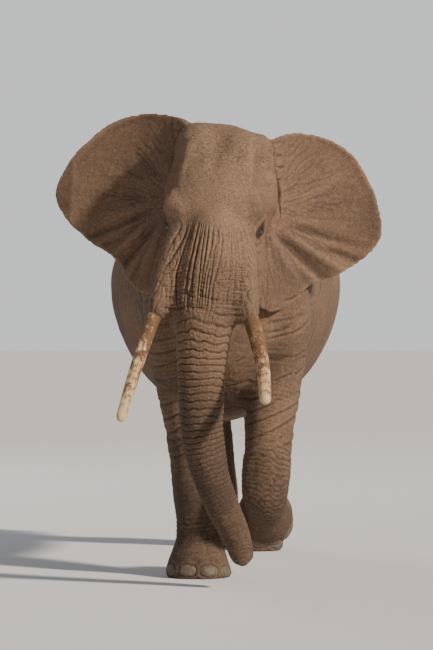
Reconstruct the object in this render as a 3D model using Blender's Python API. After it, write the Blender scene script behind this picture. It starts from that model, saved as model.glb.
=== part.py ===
"""A bull African savanna elephant in mid stride: a still, life-size model.

Metres, +Z up, the animal faces -Y. It stands on the right forefoot and both hind feet, with the
left forefoot lifted and the trunk hanging clear of the ground. The origin is the middle of the
bounding box's bottom.

The flesh is lofted as one body, remeshed and thinned, then parted into named pieces with gaps of
under a millimetre. Ears, tusks, eyes, toenails and the tail tuft are their own solids.
"""

import math

import bmesh
import bpy
import numpy as np
from mathutils import Matrix, Vector

# ---------------------------------------------------------------- driving dimensions, in metres
GAP = 0.0008            # clearance between neighbouring pieces
VOXEL = 0.026           # grid of the remesh that joins the lofts
SMOOTHING = 10          # smoothing passes after the remesh
HEAD_TRIANGLES = 760    # triangles of the head before it is parted
BODY_TRIANGLES = 1700   # triangles of the rest of the flesh before it is parted
HEAD_BACK = -0.35       # the head's region for that: in front of this y, above this z
HEAD_UNDER = 1.60
RING_POINTS = 28        # points round a loft
ENVELOPE = 0.05         # how far a leg's cutting envelope stands off the leg
ENVELOPE_SLIM = 0.03    # the same for the trunk, tail and jaw
ENVELOPE_POINTS = 8     # points round an envelope

# The spine stands on this x. The supporting forefoot is at y = 0 until the model is centred.
SPINE_X = 0.07

# Torso from breast to rump: y, top, widest level, underside, half width.
TORSO = (
    (-0.46, 2.52, 2.02, 1.66, 0.21),
    (-0.34, 2.84, 2.05, 1.45, 0.41),
    (0.00, 3.08, 2.06, 1.20, 0.60),
    (0.40, 3.10, 2.08, 1.14, 0.72),
    (0.95, 2.98, 2.13, 1.11, 0.85),
    (1.50, 2.93, 2.15, 1.09, 0.90),
    (1.95, 2.95, 2.16, 1.16, 0.86),
    (2.32, 2.88, 2.17, 1.38, 0.74),
    (2.62, 2.68, 2.17, 1.66, 0.56),
    (2.80, 2.47, 2.16, 1.90, 0.36),
    (2.88, 2.34, 2.16, 2.02, 0.20),
)
TORSO_TOP_POWER = 1.85
TORSO_BELLY_POWER = 1.85

# Neck from the nape to the shoulders: x, y, z, half width, half height.
NECK = (
    (0.01, -0.46, 2.62, 0.35, 0.50),
    (0.03, -0.20, 2.52, 0.40, 0.56),
    (0.06, 0.10, 2.42, 0.47, 0.62),
)

# Girth of a foreleg, shoulder to sole: share of the length, half width, half depth.
FORE_GIRTH = (
    (0.00, 0.13, 0.22),
    (0.14, 0.19, 0.29),
    (0.30, 0.225, 0.30),
    (0.43, 0.215, 0.262),
    (0.55, 0.188, 0.210),
    (0.66, 0.172, 0.184),
    (0.75, 0.177, 0.186),
    (0.85, 0.163, 0.172),
    (0.91, 0.186, 0.198),
    (0.955, 0.230, 0.240),
    (0.985, 0.245, 0.254),
    (1.00, 0.240, 0.248),
)
# Joints of each foreleg: blade, shoulder, elbow, wrist, fetlock, pad, sole.
FORE_RIGHT = (
    (-0.28, 0.22, 2.56),
    (-0.34, 0.02, 2.05),
    (-0.245, 0.08, 1.45),
    (-0.150, 0.00, 0.66),
    (-0.125, 0.02, 0.30),
    (-0.130, 0.00, 0.12),
    (-0.130, 0.00, -0.02),
)
FORE_LEFT = (
    (0.42, 0.18, 2.56),
    (0.48, -0.04, 2.05),
    (0.425, -0.02, 1.48),
    (0.352, -0.34, 0.73),
    (0.352, -0.22, 0.545),
    (0.352, -0.03, 0.460),
    (0.354, 0.13, 0.420),
)
LIFTED_FOOT_SCALE = 0.88  # a foot off the ground is narrower
FOOT_SHARE = 0.80         # where along a leg the foot begins

# Girth of a hind leg, hip to sole.
HIND_GIRTH = (
    (0.00, 0.18, 0.30),
    (0.15, 0.25, 0.43),
    (0.30, 0.265, 0.42),
    (0.44, 0.225, 0.315),
    (0.56, 0.182, 0.230),
    (0.70, 0.158, 0.180),
    (0.80, 0.155, 0.182),
    (0.88, 0.164, 0.196),
    (0.94, 0.190, 0.222),
    (0.975, 0.202, 0.238),
    (1.00, 0.198, 0.234),
)
# Joints of each hind leg: croup, hip, knee, hock, pad, sole.
HIND_RIGHT = (
    (-0.20, 2.30, 2.62),
    (-0.27, 2.36, 2.10),
    (-0.08, 2.36, 1.20),
    (0.022, 2.80, 0.48),
    (0.012, 2.77, 0.14),
    (0.010, 2.76, -0.02),
)
HIND_LEFT = (
    (0.34, 2.28, 2.62),
    (0.41, 2.32, 2.10),
    (0.40, 2.16, 1.20),
    (0.370, 2.42, 0.48),
    (0.349, 2.39, 0.14),
    (0.346, 2.38, -0.02),
)

# The head is built facing -Y about a point between the ears, then turned and set in place.
HEAD_AT = (0.02, -0.52, 2.60)
HEAD_YAW = -9.0
HEAD_ROLL = 2.5

# Head, crown to chin: z, half width, front, back.
HEAD = (
    (0.655, 0.24, 0.02, 0.24),
    (0.61, 0.315, -0.09, 0.33),
    (0.49, 0.355, -0.20, 0.40),
    (0.31, 0.372, -0.310, 0.44),
    (0.10, 0.375, -0.395, 0.44),
    (-0.12, 0.350, -0.450, 0.42),
    (-0.34, 0.310, -0.490, 0.36),
    (-0.55, 0.260, -0.510, 0.22),
    (-0.74, 0.205, -0.500, 0.02),
)
HEAD_POWER = 2.5

# Paired swellings of the head: centre, half axes, turn in degrees.
HEAD_SWELLINGS = {
    "dome": ((0.15, 0.04, 0.44), (0.20, 0.28, 0.215), (0, 0, 0)),
    "brow": ((0.256, -0.205, 0.075), (0.100, 0.175, 0.100), (14, 0, 22)),
    "temple": ((0.305, 0.00, 0.18), (0.110, 0.20, 0.22), (0, 0, 0)),
    "cheek": ((0.255, -0.10, -0.25), (0.103, 0.27, 0.180), (22, 0, 0)),
    "jowl": ((0.215, 0.08, -0.46), (0.125, 0.27, 0.25), (30, 0, 0)),
}
# Paired dents and bumps of the head: centre, radius, depth. A dent is negative.
HEAD_DENTS = (
    ((0.31, -0.225, 0.225), 0.085, -0.035),
    ((0.36, -0.190, -0.100), 0.055, -0.012),
    ((0.345, -0.02, -0.03), 0.100, -0.020),
    ((0.19, -0.45, -0.03), 0.100, -0.012),
)
# One tusk sheath: x, y, z, half width, half depth.
SHEATH = (
    (0.185, -0.30, -0.16, 0.125, 0.13),
    (0.235, -0.42, -0.40, 0.122, 0.12),
    (0.290, -0.51, -0.61, 0.100, 0.098),
    (0.326, -0.570, -0.735, 0.080, 0.078),
)
# Lower jaw to the point of the lip.
JAW = (
    (0.0, 0.12, -0.50, 0.265, 0.20),
    (0.0, -0.04, -0.64, 0.240, 0.165),
    (0.0, -0.15, -0.79, 0.212, 0.118),
    (0.0, -0.22, -0.93, 0.168, 0.078),
    (0.0, -0.25, -1.03, 0.080, 0.045),
)

# Trunk centreline in the world, nose bridge to tip: x, y, z, half width, half depth.
TRUNK = (
    (0.000, -0.86, 2.52, 0.190, 0.160),
    (-0.030, -0.93, 2.24, 0.230, 0.205),
    (-0.068, -0.99, 1.98, 0.222, 0.215),
    (-0.095, -1.05, 1.70, 0.182, 0.190),
    (-0.107, -1.08, 1.36, 0.160, 0.166),
    (-0.095, -1.06, 1.06, 0.148, 0.150),
    (-0.035, -1.02, 0.78, 0.132, 0.132),
    (0.050, -0.98, 0.55, 0.118, 0.117),
    (0.140, -0.96, 0.36, 0.104, 0.104),
    (0.188, -0.965, 0.185, 0.088, 0.088),
)
FINGER = 0.034        # half width of the two fingers at the trunk's tip
FINGER_REACH = 0.055  # length of the longer finger
# Share of the trunk's length where each stretch of it ends.
TRUNK_CUTS = {"trunk_upper": 0.47, "trunk_middle": 0.65, "trunk_lower": 0.84}

# Tusks in the head's frame: lip of the sheath, middle, tip.
TUSK_BASE = (0.30, -0.50, -0.66)
TUSK_RADIUS = 0.052
TUSK_TIP_RADIUS = 0.034
TUSK_RIGHT = ((-0.340, -0.59, -0.76), (-0.408, -0.81, -1.11), (-0.425, -1.18, -1.43))
TUSK_LEFT = ((0.358, -0.58, -0.76), (0.462, -0.75, -1.03), (0.532, -1.04, -1.27))
TUSK_LEFT_GIRTH = 1.12
TUSK_SIDES = 8

EYE_AT = (0.338, -0.195, -0.095)
EYE_RADIUS = 0.027
EYE_SINK = 0.017  # how far the eye's middle lies under the skin

# Ear outline seen from the front, from the top of its root round the rim to the bottom of it:
# distance out from the root line, height.
EAR_OUTLINE = (
    (0.00, 0.56), (0.20, 0.625), (0.42, 0.60), (0.60, 0.50), (0.72, 0.34),
    (0.81, 0.15), (0.845, -0.08), (0.74, -0.24), (0.54, -0.38), (0.36, -0.46),
    (0.24, -0.60), (0.10, -0.665), (-0.03, -0.58), (-0.07, -0.42),
)
# Spread, lift in degrees, backward sweep and rise of each ear.
EAR_POSES = {"ear_left": (1, 0.98, 0.0, 0.55, 0.0), "ear_right": (-1, 1.16, 10.0, 0.30, 0.06)}
EAR_ROOT_TOP = (0.28, 0.10, 0.50)
EAR_ROOT_BOTTOM = (0.275, -0.05, -0.36)
EAR_CUP = 0.10
EAR_SPAN = 0.85
EAR_THICK_ROOT = 0.050
EAR_THICK_RIM = 0.020
EAR_COLUMNS = 20
EAR_ROWS = 4

TAIL = (
    (0.070, 2.70, 2.44, 0.085, 0.10),
    (0.065, 2.90, 2.31, 0.062, 0.068),
    (0.045, 2.99, 2.10, 0.046, 0.050),
    (0.015, 3.015, 1.84, 0.036, 0.038),
    (-0.015, 3.02, 1.50, 0.030, 0.032),
    (-0.030, 3.03, 1.26, 0.026, 0.028),
)
TUFT = (
    (-0.028, 3.03, 1.30, 0.030, 0.026),
    (-0.035, 3.033, 1.16, 0.058, 0.036),
    (-0.040, 3.04, 0.97, 0.062, 0.030),
    (-0.045, 3.05, 0.80, 0.024, 0.014),
)
TUFT_POINTS = 8

# Toenails: size, height of the middle over the sole, and the rings of one from edge to crown.
NAIL_HALF_WIDTH = 0.060
NAIL_HALF_HEIGHT = 0.052
NAIL_LEVEL = 0.088
NAIL_POINTS = 8
NAIL_STAND_OFF = 0.007
NAIL_PROFILE = ((1.0, NAIL_STAND_OFF), (0.92, 0.016), (0.5, 0.024))
NAIL_ANGLES = {"fore": (-58, -20, 18, 56), "hind": (-38, 0, 38)}

# Legs are cut across at these shares of their length, top to bottom.
LEG_PARTS = {"fore": ("upper_arm", "forearm"), "hind": ("thigh", "shank")}
LEG_CUTS = {"fore": (0.43, 0.80), "hind": (0.52, 0.84)}
TRUNK_START = 0.30
ENVELOPE_STEP = 7  # rows of the limb for each row of its envelope
# A leg's envelope swells outwards by this much between two heights, to take in its muscles.
OUTSET = {"fore": 0.05, "hind": 0.13}
OUTSET_FROM = 1.3
OUTSET_TO = 1.9

# Planes that part the rest of the body, front to back: name of the front piece, point, normal.
BODY_CUTS = (
    ("head", (0.0, 0.05, 3.05), (0, -0.933, 0.359)),
    ("neck", (0.0, 0.30, 3.05), (0, -0.933, 0.290)),
)

HIDE = (0.33, 0.24, 0.19)
IVORY = (0.78, 0.66, 0.48)
HORN = (0.42, 0.34, 0.27)
DARK = (0.03, 0.02, 0.015)
HAIR = (0.05, 0.04, 0.035)


# ---------------------------------------------------------------- curves and lofts
def smooth_rows(rows, per_span):
    """Rows of numbers run through a Catmull-Rom curve, with per_span steps between rows."""
    table = np.array(rows, float)
    padded = np.vstack([2 * table[0] - table[1], table, 2 * table[-1] - table[-2]])
    out = []
    for i in range(len(table) - 1):
        a, b, c, d = padded[i : i + 4]
        for t in np.arange(per_span) / per_span:
            out.append(
                0.5
                * (
                    2 * b
                    + (c - a) * t
                    + (2 * a - 5 * b + 4 * c - d) * t**2
                    + (3 * b - a - 3 * c + d) * t**3
                )
            )
    out.append(table[-1])
    return np.array(out)


def ring_angles(points=RING_POINTS):
    return np.arange(points) * 2 * math.pi / points


def rounded(value, power):
    """A cosine or sine bent towards a superellipse."""
    return np.sign(value) * np.abs(value) ** (2 / power)


def mesh_from(name, build):
    mesh = bpy.data.meshes.new(name)
    bm = bmesh.new()
    build(bm)
    bmesh.ops.recalc_face_normals(bm, faces=bm.faces)
    bm.to_mesh(mesh)
    bm.free()
    obj = bpy.data.objects.new(name, mesh)
    bpy.context.scene.collection.objects.link(obj)
    return obj


def loft(name, rings):
    """A closed solid of triangles through rings of equal point count."""

    def build(bm):
        rows = [[bm.verts.new(point) for point in ring] for ring in rings]
        for low, high in zip(rows, rows[1:]):
            for i in range(len(low)):
                j = (i + 1) % len(low)
                bm.faces.new((low[i], low[j], high[j], high[i]))
        bm.faces.new(rows[0])
        bm.faces.new(rows[-1])
        bmesh.ops.triangulate(bm, faces=bm.faces)

    return mesh_from(name, build)


def tube_rings(rows, power=2.0, margin=0.0, points=RING_POINTS):
    """Rings across a centreline. A row holds x, y, z, half width (towards x), half depth."""
    angles = ring_angles(points)
    across = rounded(np.cos(angles), power)[:, None]
    along = rounded(np.sin(angles), power)[:, None]
    tangents = np.gradient(rows[:, :3], axis=0)
    rings = []
    for row, tangent in zip(rows, tangents):
        tangent = tangent / np.linalg.norm(tangent)
        side = np.array((1.0, 0.0, 0.0)) - tangent[0] * tangent
        side /= np.linalg.norm(side)
        depth = np.cross(tangent, side)
        rings.append(row[:3] + across * side * (row[3] + margin) + along * depth * (row[4] + margin))
    return rings


def domed(rows, ends=(True, True)):
    """Rows with a rounded end added beyond the first and the last row, where ends says so."""
    rows = list(rows)
    for at_end in (False, True):
        if not ends[at_end]:
            continue
        last, before = (rows[-1], rows[-2]) if at_end else (rows[0], rows[1])
        direction = last[:3] - before[:3]
        direction /= np.linalg.norm(direction)
        reach = 0.8 * min(last[3], last[4])
        for angle in (0.5, 0.95, 1.3):
            row = last.copy()
            row[:3] = last[:3] + direction * reach * math.sin(angle)
            row[3:5] = last[3:5] * math.cos(angle)
            if at_end:
                rows.append(row)
            else:
                rows.insert(0, row)
    return np.array(rows)


def tube(name, rows, per_span=4, power=2.0, ends=(True, True)):
    return loft(name, tube_rings(domed(smooth_rows(rows, per_span), ends), power))


def blob(name, centre, half_axes, turn=(0.0, 0.0, 0.0)):
    """An ellipsoid, turned by degrees about x, y and z."""

    def build(bm):
        bmesh.ops.create_icosphere(bm, subdivisions=3, radius=1.0)
        spin = Matrix.Identity(4)
        for angle, axis in zip(turn, "XYZ"):
            spin = Matrix.Rotation(math.radians(angle), 4, axis) @ spin
        bm.transform(Matrix.Translation(centre) @ spin @ Matrix.Diagonal((*half_axes, 1.0)))

    return mesh_from(name, build)


# ---------------------------------------------------------------- the body
def torso():
    angles = ring_angles()
    rings = []
    for y, top, wide, under, half_width in smooth_rows(TORSO, 5):
        up = np.sin(angles) > 0
        power = np.where(up, TORSO_TOP_POWER, TORSO_BELLY_POWER)
        x = SPINE_X + half_width * rounded(np.cos(angles), power)
        z = wide + np.where(up, top - wide, wide - under) * rounded(np.sin(angles), power)
        rings.append(np.stack([x, np.full_like(x, y), z], 1))
    return loft("torso", rings)


def limb_rows(joints, girth, foot_scale=1.0):
    """Rows of a leg: its joints joined by a smooth curve, with the girth set along its length."""
    curve = smooth_rows(joints, 12)
    steps = np.linalg.norm(np.diff(curve, axis=0), axis=1)
    share = np.concatenate([[0.0], np.cumsum(steps)])
    share /= share[-1]
    table = smooth_rows(girth, 6)
    place = np.linspace(0, 1, 44)
    centre = np.stack([np.interp(place, share, curve[:, i]) for i in range(3)], 1)
    widths = np.stack([np.interp(place, table[:, 0], table[:, i]) for i in (1, 2)], 1)
    scale = 1 + (foot_scale - 1) * np.clip((place - FOOT_SHARE) / 0.08, 0, 1)[:, None]
    return np.hstack([centre, widths * scale])


LEGS = {
    "fore_right": limb_rows(FORE_RIGHT, FORE_GIRTH),
    "fore_left": limb_rows(FORE_LEFT, FORE_GIRTH, LIFTED_FOOT_SCALE),
    "hind_right": limb_rows(HIND_RIGHT, HIND_GIRTH),
    "hind_left": limb_rows(HIND_LEFT, HIND_GIRTH),
}


def leg(name, rows):
    return loft(name, tube_rings(domed(rows, (True, False)), 2.15))


def envelope_of(rows, margin, step):
    """A coarse closed tube that stands off a limb, to take the limb off the body with."""
    coarse = np.vstack([rows[:-1:step], rows[-1:]])
    beyond = rows[-1, :3] - rows[-2, :3]
    coarse[-1, :3] += beyond / np.linalg.norm(beyond) * margin
    return loft("envelope", tube_rings(coarse, 2.0, margin, ENVELOPE_POINTS))


def shoulders():
    """Shoulder blades, haunches, withers and croup, and the fold under the belly."""
    pieces = []
    for side in (-1, 1):
        blade = (SPINE_X + side * 0.38, 0.16, 2.35)
        pieces.append(blob("blade", blade, (0.19, 0.40, 0.62), (-12, -side * 9, 0)))
        haunch = (SPINE_X + side * 0.40, 2.20, 2.22)
        pieces.append(blob("haunch", haunch, (0.34, 0.56, 0.64), (0, -side * 8, 0)))
    pieces.append(blob("withers", (SPINE_X, 0.22, 2.75), (0.30, 0.50, 0.38)))
    pieces.append(blob("croup", (SPINE_X, 2.04, 2.66), (0.36, 0.55, 0.30), (-10, 0, 0)))
    pieces.append(blob("belly_fold", (SPINE_X, 1.55, 1.19), (0.13, 0.42, 0.13)))
    return pieces


def head_matrix():
    yaw = Matrix.Rotation(math.radians(HEAD_YAW), 4, "Z")
    roll = Matrix.Rotation(math.radians(HEAD_ROLL), 4, "Y")
    return Matrix.Translation(HEAD_AT) @ yaw @ roll


def head_pieces():
    """Skull, brows, cheeks, tusk sheaths and lower jaw, in the head's own frame."""
    angles = ring_angles()
    rings = []
    for z, half_width, front, back in smooth_rows(HEAD, 4):
        x = half_width * rounded(np.cos(angles), HEAD_POWER)
        y = (front + back) / 2 + (back - front) / 2 * rounded(np.sin(angles), HEAD_POWER)
        rings.append(np.stack([x, y, np.full_like(x, z)], 1))
    pieces = [loft("skull", rings), tube("jaw", JAW)]
    for side in (-1, 1):
        for name, (centre, half_axes, turn) in HEAD_SWELLINGS.items():
            place = (side * centre[0], centre[1], centre[2])
            pieces.append(blob(name, place, half_axes, (turn[0], turn[1], side * turn[2])))
        sheath = [(side * x, y, z, wide, deep) for x, y, z, wide, deep in SHEATH]
        pieces.append(tube("sheath", sheath, ends=(True, False)))
    return pieces


def trunk_pieces():
    """The trunk, and the two fingers of its tip."""
    tip = TRUNK[-1]
    pieces = [tube("trunk", TRUNK, ends=(True, False))]
    for side, reach in ((-1, FINGER_REACH), (1, 0.7 * FINGER_REACH)):
        place = (tip[0], tip[1] + side * (tip[4] - 0.8 * FINGER), tip[2])
        pieces.append(blob("finger", place, (1.5 * FINGER, FINGER, reach)))
    return pieces


def dent(mesh, centre, radius, depth):
    """Moves the surface round a point in or out along its normals, fading with distance."""
    points = np.array([v.co for v in mesh.vertices])
    normals = np.array([v.normal for v in mesh.vertices])
    away = np.linalg.norm(points - np.array(centre), axis=1) / radius
    points += normals * (depth * np.exp(-(away**2)))[:, None]
    mesh.vertices.foreach_set("co", points.ravel())
    mesh.update()


def flesh():
    """All lofts of the body joined into one smooth skin of few triangles."""
    pieces = [torso(), tube("neck", NECK), *shoulders()]
    pieces += [leg(name, rows) for name, rows in LEGS.items()]
    heads = head_pieces()
    for piece in heads:
        piece.data.transform(head_matrix())
    pieces += heads
    pieces += trunk_pieces()
    pieces.append(tube("tail", TAIL, ends=(True, False)))
    body = joined("flesh", pieces)
    remesh = body.modifiers.new("join", "REMESH")
    remesh.mode = "VOXEL"
    remesh.voxel_size = VOXEL
    smooth = body.modifiers.new("soften", "SMOOTH")
    smooth.iterations = SMOOTHING
    apply_modifiers(body)
    for centre, radius, depth in HEAD_DENTS:
        for side in (-1, 1):
            place = head_matrix() @ Vector((side * centre[0], centre[1], centre[2]))
            dent(body.data, place, radius, depth)
    thin_region(body, in_head, HEAD_TRIANGLES)
    thin_region(body, lambda point: not in_head(point), BODY_TRIANGLES)
    all_triangles(body)
    return body


def in_head(point):
    return point.y < HEAD_BACK and point.z > HEAD_UNDER


def thin_region(obj, chosen, triangles):
    """Thins one region of a mesh to about this many triangles and leaves the rest alone."""
    group = obj.vertex_groups.new(name="region")
    inside = [v.index for v in obj.data.vertices if chosen(v.co)]
    group.add(inside, 1.0, "REPLACE")
    members = set(inside)
    sizes = [(len(f.vertices) - 2, members.issuperset(f.vertices)) for f in obj.data.polygons]
    total = sum(size for size, _ in sizes)
    region = sum(size for size, within in sizes if within)
    thin = obj.modifiers.new("thin", "DECIMATE")
    thin.ratio = (total - region + triangles) / total
    thin.vertex_group = group.name
    apply_modifiers(obj)
    obj.vertex_groups.clear()


def all_triangles(obj):
    bm = bmesh.new()
    bm.from_mesh(obj.data)
    bmesh.ops.triangulate(bm, faces=bm.faces)
    bm.to_mesh(obj.data)
    bm.free()


def joined(name, pieces):
    """One object that holds copies of these pieces' meshes. The pieces are removed."""
    bm = bmesh.new()
    for piece in pieces:
        bm.from_mesh(piece.data)
        bpy.data.objects.remove(piece)
    mesh = bpy.data.meshes.new(name)
    bm.to_mesh(mesh)
    bm.free()
    obj = bpy.data.objects.new(name, mesh)
    bpy.context.scene.collection.objects.link(obj)
    return obj


def apply_modifiers(obj):
    graph = bpy.context.evaluated_depsgraph_get()
    mesh = bpy.data.meshes.new_from_object(obj.evaluated_get(graph))
    obj.modifiers.clear()
    obj.data = mesh


# ---------------------------------------------------------------- parting
def copy_of(obj, name):
    twin = bpy.data.objects.new(name, obj.data.copy())
    bpy.context.scene.collection.objects.link(twin)
    return twin


def grown(obj, amount):
    """A copy whose surface stands off by amount."""
    twin = copy_of(obj, obj.name + "_grown")
    points = np.array([v.co + v.normal * amount for v in twin.data.vertices])
    twin.data.vertices.foreach_set("co", points.ravel())
    twin.data.update()
    return twin


def combine(obj, cutter, operation):
    cut = obj.modifiers.new("cut", "BOOLEAN")
    cut.operation = operation
    cut.object = cutter
    apply_modifiers(obj)
    keep_largest(obj)


def keep_largest(obj):
    """Drops every loose bit but the largest."""
    bm = bmesh.new()
    bm.from_mesh(obj.data)
    left = set(bm.verts)
    islands = []
    while left:
        island = {left.pop()}
        front = list(island)
        while front:
            near = {e.other_vert(v) for v in front for e in v.link_edges} - island
            island |= near
            front = list(near)
        left -= island
        islands.append(island)
    islands.sort(key=len)
    spare = [v for island in islands[:-1] for v in island]
    bmesh.ops.delete(bm, geom=spare, context="VERTS")
    bm.to_mesh(obj.data)
    bm.free()


def seated(piece, host):
    """Clears a piece's place in its host, a gap away all round."""
    wide = grown(piece, GAP)
    combine(host, wide, "DIFFERENCE")
    bpy.data.objects.remove(wide)


def taken_by(body, envelope, name):
    """The part of a body inside a closed envelope. The body keeps the rest, a gap away."""
    piece = copy_of(body, name)
    combine(piece, envelope, "INTERSECT")
    seated(envelope, body)
    bpy.data.objects.remove(envelope)
    return piece


def sliced(body, point, normal, name):
    """Cuts a body by a plane. The new piece lies on the side that the normal points to."""
    piece = copy_of(body, name)
    normal = Vector(normal).normalized()
    for obj, side in ((piece, 1), (body, -1)):
        bm = bmesh.new()
        bm.from_mesh(obj.data)
        geometry = [*bm.verts, *bm.edges, *bm.faces]
        place = Vector(point) + normal * side * GAP / 2
        cut = bmesh.ops.bisect_plane(
            bm, geom=geometry, plane_co=place, plane_no=normal * side, clear_inner=True
        )
        rim = [e for e in cut["geom_cut"] if isinstance(e, bmesh.types.BMEdge)]
        bmesh.ops.holes_fill(bm, edges=rim)
        bmesh.ops.triangulate(bm, faces=[f for f in bm.faces if len(f.verts) > 4])
        bmesh.ops.recalc_face_normals(bm, faces=bm.faces)
        bm.to_mesh(obj.data)
        bm.free()
    return piece


def surface_at(host, origin, direction):
    """Where a line from inside leaves the host, and the normal there."""
    hit, place, normal, _ = host.ray_cast(Vector(origin), Vector(direction))
    if not hit:
        raise ValueError(f"{host.name}: the line meets no surface")
    return place, normal


# ---------------------------------------------------------------- ears, tusks, eyes, nails
def ear(name, side, spread, lift, sweep, rise):
    """An ear: a curved plate lofted from column to column, each running from root to rim."""
    outline = smooth_rows(EAR_OUTLINE, 6)
    index = np.arange(len(outline))
    share = np.linspace(0, index[-1], EAR_COLUMNS)
    rim = np.stack([np.interp(share, index, outline[:, i]) for i in (0, 1)], 1)
    turn = math.radians(lift)
    out = spread * (rim[:, 0] * math.cos(turn) - rim[:, 1] * math.sin(turn))
    up = rim[:, 0] * math.sin(turn) + rim[:, 1] * math.cos(turn) + rise
    place = np.linspace(0, 1, EAR_COLUMNS)[:, None]
    root = np.array(EAR_ROOT_TOP) * (1 - place) + np.array(EAR_ROOT_BOTTOM) * place
    rows = []
    for t in np.linspace(0, 1, EAR_ROWS):
        x = root[:, 0] * (1 - t) + (root[0, 0] + out) * t
        z = root[:, 2] * (1 - t) + up * t
        reach = np.maximum(x - root[:, 0], 0)
        cup = EAR_CUP * np.sin(np.clip(reach / EAR_SPAN, 0, 1) * math.pi)
        rows.append(np.stack([x, root[:, 1] + sweep * reach + cup, z], 1))
    middle = np.array(rows)
    normal = np.cross(np.gradient(middle, axis=1), np.gradient(middle, axis=0))
    normal /= np.linalg.norm(normal, axis=2)[..., None]
    inner = (1 - np.linspace(0, 1, EAR_ROWS)[:, None, None]) ** 2
    half = (EAR_THICK_ROOT * inner + EAR_THICK_RIM * (1 - inner)) / 2
    front = (middle + normal * half) * (side, 1, 1)
    back = (middle - normal * half) * (side, 1, 1)
    rings = [np.vstack([front[:, i], back[::-1, i]]) for i in range(EAR_COLUMNS)]
    obj = loft(name, rings)
    obj.data.transform(head_matrix())
    return obj


def tuft_solid():
    """The body of the tail tuft: a flat-topped tapering form."""
    rows = domed(np.array(TUFT), (False, True))
    rows[0, 2] -= GAP
    return loft("tail_tuft", tube_rings(rows, points=TUFT_POINTS))


def tusk(name, points, girth):
    """A tusk from inside its sheath to its rounded tip."""
    base = (math.copysign(TUSK_BASE[0], points[0][0]), TUSK_BASE[1], TUSK_BASE[2])
    curve = smooth_rows((base, *points), 2)
    place = np.linspace(0, 1, len(curve))
    radius = girth * (TUSK_RADIUS + (TUSK_TIP_RADIUS - TUSK_RADIUS) * place**1.5)
    rows = domed(np.hstack([curve, radius[:, None], radius[:, None]]), (False, True))
    angles = np.arange(TUSK_SIDES) * 2 * math.pi / TUSK_SIDES
    around = np.stack([np.cos(angles), np.sin(angles)], 1)
    tangents = np.gradient(rows[:, :3], axis=0)
    rings = []
    for row, tangent in zip(rows, tangents):
        side = np.cross(tangent, (0, 0, 1.0))
        side /= np.linalg.norm(side)
        over = np.cross(tangent, side) / np.linalg.norm(tangent)
        rings.append(row[:3] + row[3] * around @ np.array([side, over]))
    obj = loft(name, rings)
    obj.data.transform(head_matrix())
    return obj


def eye(name, side, body):
    """An eyeball sunk in the side of the head."""
    inside = head_matrix() @ Vector((0, EYE_AT[1], EYE_AT[2]))
    outward = head_matrix().to_3x3() @ Vector((side, 0, 0))
    place, normal = surface_at(body, inside, outward)
    middle = place - normal * EYE_SINK

    def build(bm):
        bmesh.ops.create_icosphere(bm, subdivisions=2, radius=EYE_RADIUS)
        bm.transform(Matrix.Translation(middle))

    return mesh_from(name, build)


def nails(foot, name, rows, angles):
    """Toenails round the front of a foot: shallow domes whose backs follow its surface."""
    sole = Vector(rows[-1][:3])
    up = (Vector(rows[-5][:3]) - sole).normalized()
    across = (Vector((1, 0, 0)) - up * up.x).normalized()
    ahead = across.cross(up)
    made = []
    for number, angle in enumerate(angles, 1):
        turn = math.radians(angle)
        outward = across * math.sin(turn) + ahead * math.cos(turn)
        sideways = up.cross(outward)

        def on_foot(share, bearing, height):
            """A point over the foot at a share of the nail's outline."""
            across_nail = sideways * (NAIL_HALF_WIDTH * share * math.cos(bearing))
            up_nail = up * (NAIL_LEVEL + NAIL_HALF_HEIGHT * share * math.sin(bearing))
            place, _ = surface_at(foot, sole + across_nail + up_nail, outward)
            return place + outward * height

        bearings = ring_angles(NAIL_POINTS)
        layers = [[on_foot(0.5, turned, NAIL_STAND_OFF) for turned in bearings]]
        for share, height in NAIL_PROFILE:
            layers.append([on_foot(share, turned, height) for turned in bearings])
        made.append(loft(f"nail_{name}_{number}", layers))
    return made


# ---------------------------------------------------------------- assembly
def finish(obj, colour, roughness):
    """Gives a piece its own material and shades it smooth."""
    material = bpy.data.materials.new(obj.name)
    material.use_nodes = True
    shader = material.node_tree.nodes["Principled BSDF"]
    shader.inputs["Base Color"].default_value = (*colour, 1.0)
    shader.inputs["Roughness"].default_value = roughness
    shader.inputs["Metallic"].default_value = 0.0
    obj.data.materials.clear()
    obj.data.materials.append(material)
    obj.data.shade_smooth()
    obj.data.set_sharp_from_angle(angle=math.radians(50))


def leg_pieces(body, name, rows):
    """A leg taken off the body and cut into three, with its nails."""
    kind = name.split("_")[0]
    high = np.clip((rows[:, 2] - OUTSET_FROM) / (OUTSET_TO - OUTSET_FROM), 0, 1)
    wide = rows.copy()
    wide[:, 0] += math.copysign(OUTSET[kind], rows[2, 0] - SPINE_X) * high
    wide[:, 3:5] += OUTSET[kind] * high[:, None]
    limb = taken_by(body, envelope_of(wide, ENVELOPE, ENVELOPE_STEP), f"{name}_foot")
    names = LEG_PARTS[kind]
    pieces = []
    for part, share in zip(names, LEG_CUTS[kind]):
        at = int(share * (len(rows) - 1))
        along = rows[at - 1][:3] - rows[at + 1][:3]
        pieces.append(sliced(limb, rows[at][:3], along, f"{name}_{part}"))
    return [*pieces, limb], nails(limb, name, rows, NAIL_ANGLES[kind])


def trunk_parts(body):
    """The trunk taken off the head and cut into lengths."""
    rows = smooth_rows(TRUNK, 8)
    count = len(rows) - 1
    start = int(TRUNK_START * count)
    long_rows = rows[start:].copy()
    long_rows[-1, 2] -= FINGER_REACH
    envelope = envelope_of(long_rows, ENVELOPE_SLIM, ENVELOPE_STEP)
    limb = taken_by(body, envelope, "trunk_tip")
    pieces = []
    for name, share in TRUNK_CUTS.items():
        at = int(share * count)
        along = rows[at - 1][:3] - rows[at + 1][:3]
        pieces.append(sliced(limb, rows[at][:3], along, name))
    return [*pieces, limb]


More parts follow.
